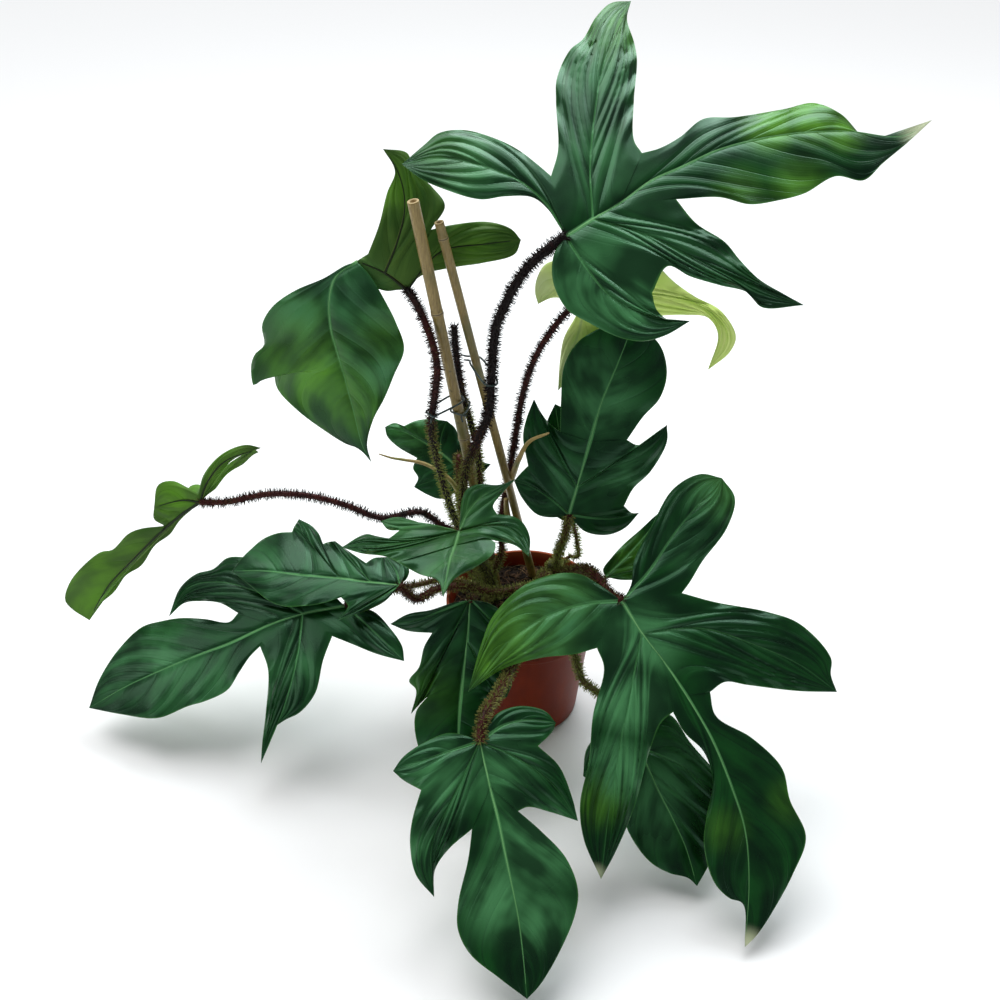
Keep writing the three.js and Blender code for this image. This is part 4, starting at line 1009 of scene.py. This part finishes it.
def wire_material():
    material, tree, shader = new_material('tie_wire', 0.38, Specular_IOR_Level=0.5)
    wear = clouds(tree, in_place(tree), 0.003)
    colour = blended(tree, spread(tree, wear, 0.4, 0.75), (0.006, 0.020, 0.018), (0.030, 0.065, 0.055))
    join_up(tree, shader, {'Base Color': colour, 'Normal': bumped(tree, wear, 0.0001)})
    return material


# bristles and litter, strewn over a mesh by Geometry Nodes

def spots_on(tree, given, count):
    return add_node(tree, 'GeometryNodeDistributePointsOnFaces', {
        'Mesh': given['Geometry'], 'Density': given[count], 'Seed': given['Seed']}).outputs


def varied(tree, given, kind, first, low, high):
    """A random value of a kind for each spot. first is the number of that kind's lowest input."""
    return add_node(tree, 'FunctionNodeRandomValue', {first: low, first + 1: high, 'Seed': given['Seed']},
                    data_type=kind).outputs[first // 2]


def strewn(tree, spots, body, rotation, scale, material):
    """A body on each spot, as plain mesh of one material."""
    placed = add_node(tree, 'GeometryNodeInstanceOnPoints', {
        'Points': spots['Points'], 'Instance': body, 'Rotation': rotation, 'Scale': scale}).outputs[0]
    real = add_node(tree, 'GeometryNodeRealizeInstances', {0: placed}).outputs[0]
    return add_node(tree, 'GeometryNodeSetMaterial', {'Geometry': real, 'Material': material}).outputs[0]


def bristle_tree(skin, bristles):
    """A tree that covers the mesh it is given with small blunt cones that stand out of its surface."""
    tree, given, end = new_tree('GeometryNodeTree', 'bristles on a stalk', {
        'Geometry': 'Geometry', 'Bristles per Square Metre': 'Float', 'Bristle Length': 'Float',
        'Bristle Radius': 'Float', 'Lean': 'Float', 'Seed': 'Int'}, {'Geometry': 'Geometry'})
    spots = spots_on(tree, given, 'Bristles per Square Metre')
    cone = add_node(tree, 'GeometryNodeMeshCone', {
        'Vertices': 3, 'Side Segments': 1, 'Radius Top': BRISTLE_TIP_RADIUS * MM,
        'Radius Bottom': given['Bristle Radius'], 'Depth': given['Bristle Length']}).outputs['Mesh']
    sunk = add_node(tree, 'GeometryNodeTransform', {
        'Geometry': cone, 'Translation': (0.0, 0.0, -BRISTLE_SINK * MM)}).outputs[0]
    lean = varied(tree, given, 'FLOAT_VECTOR', 0, (-1.0, -1.0, -1.0), (1.0, 1.0, 1.0))
    lean = add_node(tree, 'ShaderNodeVectorMath', {0: lean, 'Scale': given['Lean']}, operation='SCALE')
    outward = add_node(tree, 'ShaderNodeVectorMath', {0: spots['Normal'], 1: lean.outputs[0]}, operation='ADD')
    turn = add_node(tree, 'FunctionNodeAlignRotationToVector', {'Vector': outward.outputs[0]}, axis='Z')
    size = varied(tree, given, 'FLOAT', 2, 0.55, 1.05)
    grown = strewn(tree, spots, sunk, turn.outputs[0], size, bristles)
    skinned = add_node(tree, 'GeometryNodeSetMaterial', {'Geometry': given['Geometry'], 'Material': skin})
    both = tree.nodes.new('GeometryNodeJoinGeometry')
    tree.links.new(grown, both.inputs[0])
    tree.links.new(skinned.outputs[0], both.inputs[0])
    tree.links.new(both.outputs[0], end.inputs[0])
    return tree


def litter_tree(name, kind, material):
    """A tree that strews chips or fibres over the mesh that it is given."""
    tree, given, end = new_tree('GeometryNodeTree', name, {
        'Geometry': 'Geometry', 'Pieces per Square Metre': 'Float', 'Size': 'Float', 'Seed': 'Int'},
        {'Geometry': 'Geometry'})
    spots = spots_on(tree, given, 'Pieces per Square Metre')
    if kind == 'fibre':
        line = add_node(tree, 'GeometryNodeCurveArc', {'Resolution': 6, 'Radius': given['Size'],
                                                       'Sweep Angle': FIBRE_ARC})
        section = add_node(tree, 'GeometryNodeCurvePrimitiveCircle', {'Resolution': 3,
                                                                      'Radius': FIBRE_RADIUS * MM})
        body = add_node(tree, 'GeometryNodeCurveToMesh', {
            'Curve': line.outputs[0], 'Profile Curve': section.outputs[0], 'Fill Caps': True})
        low, high = (0.6, 0.6, 0.4), (1.4, 1.4, 1.0)
    else:
        body = add_node(tree, 'GeometryNodeMeshIcoSphere', {'Radius': given['Size'], 'Subdivisions': 1})
        low, high = (0.4, 0.3, 0.25), (1.3, 1.0, 0.7)
    turn = varied(tree, given, 'FLOAT_VECTOR', 0, (-0.5, -0.5, -3.2), (0.5, 0.5, 3.2))
    size = varied(tree, given, 'FLOAT_VECTOR', 0, low, high)
    tree.links.new(strewn(tree, spots, body.outputs[0], turn, size, material), end.inputs[0])
    return tree


def grow(made, tree, values):
    """The object's mesh becomes what its tree makes of it, with the tree's named inputs set to values."""
    modifier = made.modifiers.new('made', 'NODES')
    modifier.node_group = tree
    for item in tree.interface.items_tree:
        if item.item_type == 'SOCKET' and item.in_out == 'INPUT' and item.name in values:
            modifier[item.identifier] = values[item.name]
    settle(made, modifier)


# stalks and stems

def stalk_piece(name, stalk, tree, seed, node, foot_swell=0.12):
    """A stalk: thicker where it clasps the stem and under the blade, faintly ridged, with its tone along it."""
    centres = smooth_line(stalk['route'], count=max(12, int(curve_length(stalk['route']) / STALK_STEP)))
    share = np.linspace(0, 1, len(centres))
    swell = 1 + foot_swell * np.exp(-(share / 0.04) ** 2) + 0.22 * np.exp(-((1 - share) / 0.08) ** 2)
    points, faces = tube_mesh(centres, stalk['radius'] * SKIN_SHARE * swell, STALK_SIDES,
                              lambda at, angles: 1 + 0.05 * np.cos(3 * angles + 1.7 * seed + 4 * at))
    made = mesh_object(name, points, faces)
    along = np.concatenate((np.repeat(share, STALK_SIDES), (0.0, 1.0)))
    for label in ('tone', 'bristle_tone'):
        steps = np.linspace(0, 1, len(stalk[label]))
        add_values(made, label, np.interp(along, steps, stalk[label]))
    grow(made, tree, {'Seed': seed, **STALK_BRISTLES})
    finish_piece(made, [], 'stalk', node)


# pot and soil

def rounded(profile, radius):
    """The profile with its inner corners rounded."""
    made = [np.array(profile[0], dtype=float)]
    for three in zip(profile, profile[1:], profile[2:]):
        before, corner, after = (np.array(point, dtype=float) for point in three)
        first = before - corner
        second = after - corner
        reach = min(radius, 0.45 * np.linalg.norm(first), 0.45 * np.linalg.norm(second))
        start = corner + first / np.linalg.norm(first) * reach
        end = corner + second / np.linalg.norm(second) * reach
        made += [(1 - t) ** 2 * start + 2 * t * (1 - t) * corner + t * t * end
                 for t in np.linspace(0, 1, CORNER_POINTS)]
    made.append(np.array(profile[-1], dtype=float))
    return [tuple(point) for point in made]


def pot_piece(finish):
    profile = [
        (0, 0.8), (POT_BASE_RADIUS - 9, 0.8), (POT_BASE_RADIUS - 7, 0), (POT_BASE_RADIUS - 2, 0),
        (POT_BASE_RADIUS, 2.5), (POT_NECK_RADIUS, POT_COLLAR_FOOT - 2), (POT_COLLAR_RADIUS, POT_COLLAR_FOOT),
        (POT_COLLAR_RADIUS + 0.4, POT_COLLAR_FOOT + 2), (POT_RIM_RADIUS - 1.6, POT_HEIGHT - 4.5),
        (POT_RIM_RADIUS, POT_HEIGHT - 3.5), (POT_RIM_RADIUS, POT_HEIGHT),
        (POT_RIM_RADIUS - POT_WALL - 1, POT_HEIGHT), (POT_COLLAR_RADIUS - POT_WALL, POT_COLLAR_FOOT + 2),
        (POT_NECK_RADIUS - POT_WALL, POT_COLLAR_FOOT - 3), (POT_BASE_RADIUS - POT_WALL, POT_FLOOR),
        (0, POT_FLOOR)]
    made = turned_shape('flower_pot', rounded(profile, CORNER_RADIUS), POT_SIDES)
    tidy_faces(made)
    for k in range(DRAIN_COUNT):
        angle = 2 * math.pi * k / DRAIN_COUNT
        cutter = turned_shape('drain', [(0, -5), (DRAIN_RADIUS, -5), (DRAIN_RADIUS, 9), (0, 9)], 24)
        cutter.data.transform(Matrix.Translation(
            Vector((DRAIN_RING * math.cos(angle), DRAIN_RING * math.sin(angle), 0)) * MM))
        tidy_faces(cutter)
        cut = made.modifiers.new('drain', 'BOOLEAN')
        cut.operation = 'DIFFERENCE'
        cut.solver = 'EXACT'
        cut.object = cutter
        settle(made, cut)
        bpy.data.objects.remove(cutter)
    made.data.polygons.foreach_set('use_smooth', [True] * len(made.data.polygons))
    finish_piece(made, [finish], 'pot_plastic', 'pot')


def soil_height(x, y):
    """The soil's surface in mm at x, y: crowned, lumpy and a little sunk at its edge."""
    far = math.hypot(x, y)
    crown = np.interp(far, (0, 15, 32, 50, 66, 78), (2, 2, 1, 0, -1, SOIL_EDGE_TOP - SOIL_TOP)) + SOIL_TOP
    lump = 2.2 * math.sin(x / 9) * math.cos(y / 11) + 1.4 * math.sin((x + 2 * y) / 13)
    crumb = 0
    for size, amount, seed in ((9, 0.9, 3), (4, 0.8, 7), (2, 0.5, 11)):
        crumb += amount * noise.noise(Vector((x / size + seed, y / size, seed)))
    return crown + (lump + crumb) * np.interp(far, (70, 79), (1, 0))


def soil_piece(finish):
    gap = POT_WALL + SOIL_GAP
    collar_slope = (POT_RIM_RADIUS - POT_COLLAR_RADIUS) / (POT_HEIGHT - POT_COLLAR_FOOT)
    edge = POT_COLLAR_RADIUS + collar_slope * (SOIL_EDGE_TOP - POT_COLLAR_FOOT) - gap - 1.0
    profile = [(0, POT_FLOOR + 0.3), (POT_BASE_RADIUS - gap - 0.4, POT_FLOOR + 0.3),
               (POT_NECK_RADIUS - gap - 0.6, POT_COLLAR_FOOT - 3),
               (POT_COLLAR_RADIUS - gap - 0.8, POT_COLLAR_FOOT + 2)]
    profile += [(edge * (1 - k / SOIL_RINGS), SOIL_TOP) for k in range(SOIL_RINGS)] + [(0, SOIL_TOP)]
    made = turned_shape('potting_soil', profile, SOIL_SIDES)
    for vertex in made.data.vertices:
        if vertex.co.z > (SOIL_TOP - 1) * MM:
            vertex.co.z = soil_height(vertex.co.x / MM, vertex.co.y / MM) * MM
    tidy_faces(made)
    finish_piece(made, [finish], 'soil', 'soil')


def litter_piece(name, kind, material, density, size, seed):
    """Loose bits on top of the soil, strewn over a copy of its surface."""
    points = [(0, 0, soil_height(0, 0))]
    for ring in range(1, LITTER_RINGS + 1):
        reach = LITTER_REACH * ring / LITTER_RINGS
        for k in range(LITTER_SIDES):
            angle = 2 * math.pi * k / LITTER_SIDES
            x = reach * math.cos(angle)
            y = reach * math.sin(angle)
            points.append((x, y, soil_height(x, y) + 0.3))
    faces = [(0, 1 + k, 1 + (k + 1) % LITTER_SIDES) for k in range(LITTER_SIDES)]
    for start in range(1, 1 + (LITTER_RINGS - 1) * LITTER_SIDES, LITTER_SIDES):
        for k in range(LITTER_SIDES):
            a = start + k
            b = start + (k + 1) % LITTER_SIDES
            faces.append((a, a + LITTER_SIDES, b + LITTER_SIDES, b))
    made = mesh_object(name, points, faces, smooth=False)
    grow(made, litter_tree(name, kind, material),
         {'Pieces per Square Metre': density, 'Size': size, 'Seed': seed})
    finish_piece(made, [], 'soil')


# stems, canes, sheaths and ties

def stem_piece(name, route, tree):
    """A climbing stem: ringed by old leaf scars, thicker at each ring."""
    length = curve_length(route)
    centres = smooth_line(route, count=int(length / 1.6))
    share = np.linspace(0, 1, len(centres))
    rings = 1 + 0.05 * np.exp(-((share * length % SCAR_SPACING - 10) / 2.2) ** 2)
    radii = STEM_RADIUS * DRESSED_SHARE * (1 - 0.25 * share ** 2) * rings
    points, faces = tube_mesh(centres, radii, 24, lambda at, angles: 1 + 0.03 * np.sin(5 * angles + 9 * at))
    made = mesh_object('climbing_' + name, points, faces)
    tidy_faces(made)
    for label, tone in (('tone', 0.62), ('bristle_tone', 0.8)):
        add_values(made, label, np.full(len(made.data.vertices), tone))
    grow(made, tree, {'Seed': 77, **STEM_BRISTLES})
    finish_piece(made, [], 'stem', name)


def cane_ends(cane):
    """A cane's foot, sunk in the soil below the pixel where it goes in, and its head, in mm."""
    head = traced(cane['head'])
    entry = traced(cane['soil'])
    down = (entry - head) / np.linalg.norm(entry - head)
    return entry + down * CANE_BURIED, head


def cane_piece(name, cane, finishes):
    """A bamboo cane: swollen and grooved at its nodes, and sawn off square with an open bore."""
    foot, head = cane_ends(cane)
    length = np.linalg.norm(head - foot)
    radius = cane['radius']
    nodes = [share * length for share in cane['nodes']]
    bore_floor = length - CANE_BORE_DEPTH
    profile = [(0, 0), (radius * 0.99, 0.4)]
    near_nodes = np.concatenate([node + np.linspace(-7, 7, 19) for node in nodes])
    for z in np.unique(np.concatenate((np.linspace(3, length - 1.5, 160), near_nodes))):
        reach = 0.965 + 0.02 * math.sin(z / 31)
        for node in nodes:
            off = z - node
            reach += 0.13 * math.exp(-(off / 2.6) ** 2) - 0.09 * math.exp(-((off - 0.6) / 0.7) ** 2)
        profile.append((radius * reach, z))
    profile += [(radius * 0.95, length - 0.2), (radius * 0.90, length), (radius * 0.60, length),
                (radius * 0.55, length - 0.8), (radius * 0.52, bore_floor), (0, bore_floor)]
    made = turned_shape('bamboo_' + name, profile, 32)
    tidy_faces(made)
    for polygon in made.data.polygons:
        x, y, z = polygon.center / MM
        polygon.material_index = int(math.hypot(x, y) < radius * 0.93 and z > bore_floor - 1)
    heights = np.array([vertex.co.z / MM for vertex in made.data.vertices])
    add_values(made, 'ring', sum(np.exp(-((heights - node - 0.6) / 1.1) ** 2) for node in nodes))
    lean = Vector(head - foot).normalized().to_track_quat('Z', 'Y').to_matrix().to_4x4()
    made.data.transform(Matrix.Translation(Vector(foot) * MM) @ lean)
    finish_piece(made, finishes, 'bamboo', name)


def sheath_piece(name, sheath, finish):
    """A dry leaf sheath: keeled on one side, tapering to a thin tip, or torn off blunt."""
    centres = smooth_line([traced(point) for point in numbers(sheath['route'])], count=SHEATH_POINTS)
    share = np.linspace(0, 1, SHEATH_POINTS)
    taper = 1 - 0.45 * share if sheath['power'] is None else (1 - share) ** sheath['power'] * 0.78 + 0.22
    made = mesh_object('leaf_' + name, *tube_mesh(
        centres, sheath['radius'] * DRESSED_SHARE * taper, 20,
        lambda at, angles: 0.86 + 0.14 * np.abs(np.cos(angles)) + 0.03 * np.sin(11 * angles)))
    tidy_faces(made)
    finish_piece(made, [finish], 'sheath', name)


def tie_piece(name, height, held, finish):
    """A twist of coated wire round two held pieces, each a route and a radius, with two loose tails."""
    routes = [smooth_line(route, count=400) for route, _ in held]
    first, second = (route[int(np.argmin(np.abs(route[:, 2] - height)))] for route in routes)
    a, b = (radius + WIRE_RADIUS + 0.3 for _, radius in held)
    between = second - first
    between[2] = 0
    between = between / np.linalg.norm(between)
    side = np.array((-between[1], between[0], 0))
    rise = np.array((0, 0, 1.6))
    stops = [
        (first, -a - 5, -a - 2, -2.2), (first, -a * 0.75, -a * 0.75, -1), (first, 0.2 * a, -a, -0.6),
        (second, 0, -b, -0.4), (second, b * 0.75, -b * 0.7, -0.2), (second, b, 0, 0),
        (second, b * 0.75, b * 0.7, 0.2), (second, 0, b, 0.4), (first, 0, a, 0.6),
        (first, -a * 0.75, a * 0.7, 0.8), (first, -a, 0, 1), (first, -a - 2, -a - 1, 1.4),
        (first, -a - 4, -a - 6, 2.4)]
    centres = smooth_line([spot + between * x + side * y + rise * z for spot, x, y, z in stops],
                          count=WIRE_POINTS)
    radii = np.full(WIRE_POINTS, WIRE_RADIUS)
    radii[:3] = radii[-3:] = WIRE_RADIUS * 0.8
    made = mesh_object('wire_' + name, *tube_mesh(centres, radii, 10))
    tidy_faces(made)
    finish_piece(made, [finish], 'wire', name)


# the plant

STEMS = {
    'stem_left': ((-30, 12, 100), (-36, 12, 150), (-48, 10, 200), (-60, 10, 250), (-66, 12, 285)),
    'stem_right': ((22, 28, 100), (26, 28, 140), (32, 28, 176)),
}
CANES = {
    'cane_left': {'radius': 5.8, 'head': (413, 201, 12), 'soil': (497, 590, 31), 'nodes': (0.2, 0.5, 0.78)},
    'cane_middle': {'radius': 4.6, 'head': (439, 222, 24), 'soil': (533, 577, 53),
                    'nodes': (0.25, 0.568, 0.966)},
}
SHEATHS = {
    'sheath_right': {'route': '506,490,52 512,477,46 519,459,21 530,441,4 549,433,-4', 'radius': 4.4,
                     'power': 0.6},
    'sheath_left': {'route': '460,494,12 448,478,14 425,464,20 405,460,18 392,458,12 379,454,6', 'radius': 3.0,
                    'power': 0.7},
    'sheath_dry': {'route': '509,526,48 507,512,47 506,499,46', 'radius': 5.0, 'power': None},
}


def on_cane(name):
    return cane_ends(CANES[name]), CANES[name]['radius'] * 1.08


def on_stalk(stalk):
    return stalk['route'], stalk['radius'] + 0.5


TIES = {
    'tie_upper': (425, [on_cane('cane_middle'), on_stalk(STALKS['top'])]),
    'tie_middle': (389, [on_stalk(STALKS['folded']), on_cane('cane_left')]),
    'tie_lower': (374, [on_cane('cane_left'), on_stalk(CUT_STALK)]),
}

GREEN_UPPER = leaf_material('leaf_green_upper', (0.0007, 0.0085, 0.0018), (0.0054, 0.054, 0.0075),
                            (0.085, 0.27, 0.090), (0.045, 0.160, 0.025), 0.27, 0.06)
GREEN_LOWER = leaf_material('leaf_green_lower', (0.022, 0.075, 0.012), (0.060, 0.135, 0.022),
                            (0.13, 0.20, 0.05), (0.05, 0.12, 0.03), 0.5, 0.0, gloss=(0.7, 0.85, 0.35))
LEAF_RIB = leaf_material('leaf_rib', (0.050, 0.165, 0.048), (0.065, 0.200, 0.055),
                         (0.200, 0.440, 0.170), (0.08, 0.2, 0.05), 0.4, 0.0)
DARK_RIB = leaf_material('leaf_rib_dark', (0.010, 0.012, 0.005), (0.022, 0.020, 0.008),
                         (0.020, 0.014, 0.008), (0.02, 0.03, 0.01), 0.45, 0.0)
PALE_UPPER = leaf_material('leaf_pale_upper', (0.003, 0.026, 0.007), (0.016, 0.088, 0.020),
                           (0.08, 0.22, 0.07), (0.05, 0.14, 0.03), 0.30, 0.12)
LIME_UPPER = leaf_material('leaf_lime_upper', (0.54, 0.74, 0.13), (0.78, 0.90, 0.30),
                           (0.55, 0.70, 0.25), (0.55, 0.70, 0.3), 0.42, 0.05)
LIME_RIB = leaf_material('leaf_lime_rib', (0.40, 0.58, 0.12), (0.5, 0.68, 0.2),
                         (0.55, 0.7, 0.25), (0.5, 0.65, 0.25), 0.45, 0.0)
BACK_SEEN = [GREEN_UPPER, GREEN_LOWER, LEAF_RIB, DARK_RIB]
LEAF_FINISHES = {'folded': BACK_SEEN, 'far_left': BACK_SEEN, 'pale': [PALE_UPPER, GREEN_LOWER, LEAF_RIB],
                 'lime': [LIME_UPPER, LIME_UPPER, LIME_RIB]}
USUAL_FINISHES = [GREEN_UPPER, GREEN_LOWER, LEAF_RIB]
SKIN = stalk_material('stalk_skin', 'tone', (0.007, 0.003, 0.003), (0.075, 0.012, 0.010),
                      (0.10, 0.095, 0.025), 0.5, 0.012, 0.7)
BRISTLES = stalk_material('stalk_bristles', 'bristle_tone', (0.006, 0.003, 0.003), (0.060, 0.016, 0.011),
                          (0.25, 0.29, 0.065), 0.6, 0.0028, 1.5)
BAMBOO = fibrous_material('bamboo', (0.205, 0.135, 0.028), (0.33, 0.235, 0.062), (0.13, 0.120, 0.024),
                          0.38, (6, 6, 0.35), 0.004, 0.0002, spots=0.55, coat=0.2, rings=True)
CANE_END = fibrous_material('bamboo_cut_end', (0.42, 0.31, 0.15), (0.52, 0.41, 0.22), (0.28, 0.19, 0.08),
                            0.8, (1, 1, 1), 0.0012, 0.0002)
SHEATH = fibrous_material('dry_sheath', (0.38, 0.30, 0.09), (0.33, 0.20, 0.075), (0.24, 0.26, 0.06),
                          0.5, (4, 4, 1), 0.003, 0.0003)
STEM = fibrous_material('stem_bark', (0.06, 0.065, 0.018), (0.10, 0.11, 0.03), (0.05, 0.03, 0.014),
                        0.6, (2, 2, 1), 0.004, 0.0004, spots=0.5)
SOIL = soil_material('potting_soil', (0.003, 0.002, 0.0015), (0.022, 0.013, 0.008), 0.005, 0.0025)
FIBRE = soil_material('coir_fibre', (0.070, 0.036, 0.016), (0.26, 0.17, 0.09), 0.012, 0.0002)
CHIP = soil_material('bark_chip', (0.008, 0.005, 0.003), (0.070, 0.038, 0.020), 0.012, 0.0004)
PERLITE = soil_material('perlite', (0.30, 0.27, 0.22), (0.60, 0.57, 0.50), 0.002, 0.0003)
WIRE = wire_material()
BRISTLE_TREE = bristle_tree(SKIN, BRISTLES)
STEM_TREE = bristle_tree(STEM, BRISTLES)

pot_piece(pot_material())
soil_piece(SOIL)
litter_piece('soil_fibres', 'fibre', FIBRE, 42000.0, 0.011, 5)
litter_piece('soil_chips', 'chip', CHIP, 34000.0, 0.0036, 9)
litter_piece('soil_grit', 'chip', PERLITE, 1800.0, 0.0014, 14)
for name, route in STEMS.items():
    stem_piece(name, route, STEM_TREE)
for name, cane in CANES.items():
    cane_piece(name, cane, [BAMBOO, CANE_END])
for name, sheath in SHEATHS.items():
    sheath_piece(name, sheath, SHEATH)
for name, (height, held) in TIES.items():
    tie_piece(name, height, held, WIRE)
for number, leaf in enumerate(LEAVES):
    leaf_piece(leaf, LEAF_FINISHES.get(leaf['name'], USUAL_FINISHES), 1.3 * number)
for number, (name, stalk) in enumerate(STALKS.items()):
    stalk_piece('stalk_' + name, stalk, BRISTLE_TREE, 21 + number, 'petiole_' + name)
stalk_piece('old_stalk', CUT_STALK, BRISTLE_TREE, 51, 'stalk_cut', foot_swell=0)


# floor, lights and camera

def floor_piece():
    corners = [(-9000, -9000, -0.2), (9000, -9000, -0.2), (9000, 9000, -0.2), (-9000, 9000, -0.2)]
    made = mesh_object('studio_floor', corners, [(0, 1, 2, 3)], smooth=False)
    made.data.materials.append(new_material('studio_floor', 0.9, Specular_IOR_Level=0.2,
                                            Base_Color=(0.93, 0.93, 0.93))[0])


def placed(name, thing, place, look):
    """An object for a light or camera, at a place in metres, that looks along its -Z at the given angles."""
    made = bpy.data.objects.new(name, thing)
    made.location = place
    made.rotation_euler = look
    bpy.context.scene.collection.objects.link(made)
    return made


def soft_light(name, place, aim, size, power, colour):
    light = bpy.data.lights.new(name, 'AREA')
    light.shape = 'RECTANGLE'
    light.size, light.size_y = size
    light.energy = power
    light.color = colour
    placed(name, light, place, (Vector(aim) - Vector(place)).to_track_quat('-Z', 'Y').to_euler())


def even_light(name, strength, width, towards):
    light = bpy.data.lights.new(name, 'SUN')
    light.energy = strength
    light.angle = math.radians(width)
    placed(name, light, (0, 0, 0), Vector(towards).to_track_quat('Z', 'Y').to_euler())


def daylight(strength, colour):
    world = bpy.data.worlds.new('studio')
    world.use_nodes = True
    join_up(world.node_tree, world.node_tree.nodes['Background'], {0: colour, 1: strength})
    bpy.context.scene.world = world


def photo_camera():
    camera = bpy.data.cameras.new('camera')
    camera.sensor_width = 36
    camera.lens = camera.sensor_width * FOCAL_PIXELS / PICTURE_SIZE
    camera.clip_start = 0.05
    camera.clip_end = 50
    bpy.context.scene.camera = placed('camera', camera, Vector(EYE) * MM, (math.pi / 2 - VIEW_DROP, 0, 0))


bpy.context.scene.view_settings.view_transform = 'Standard'
floor_piece()
daylight(0.26, (0.92, 0.96, 1.0))
even_light('sky', 2.4, 50, (-0.25, 0.35, 1))
soft_light('window_above', (0.5, 1.0, 2.0), (0, 0, 0.4), (1.4, 0.8), 28, (0.90, 0.97, 1.0))
soft_light('window_left', (-1.9, -0.4, 1.5), (0, 0, 0.3), (0.9, 1.2), 7, (1.0, 0.98, 0.95))
photo_camera()
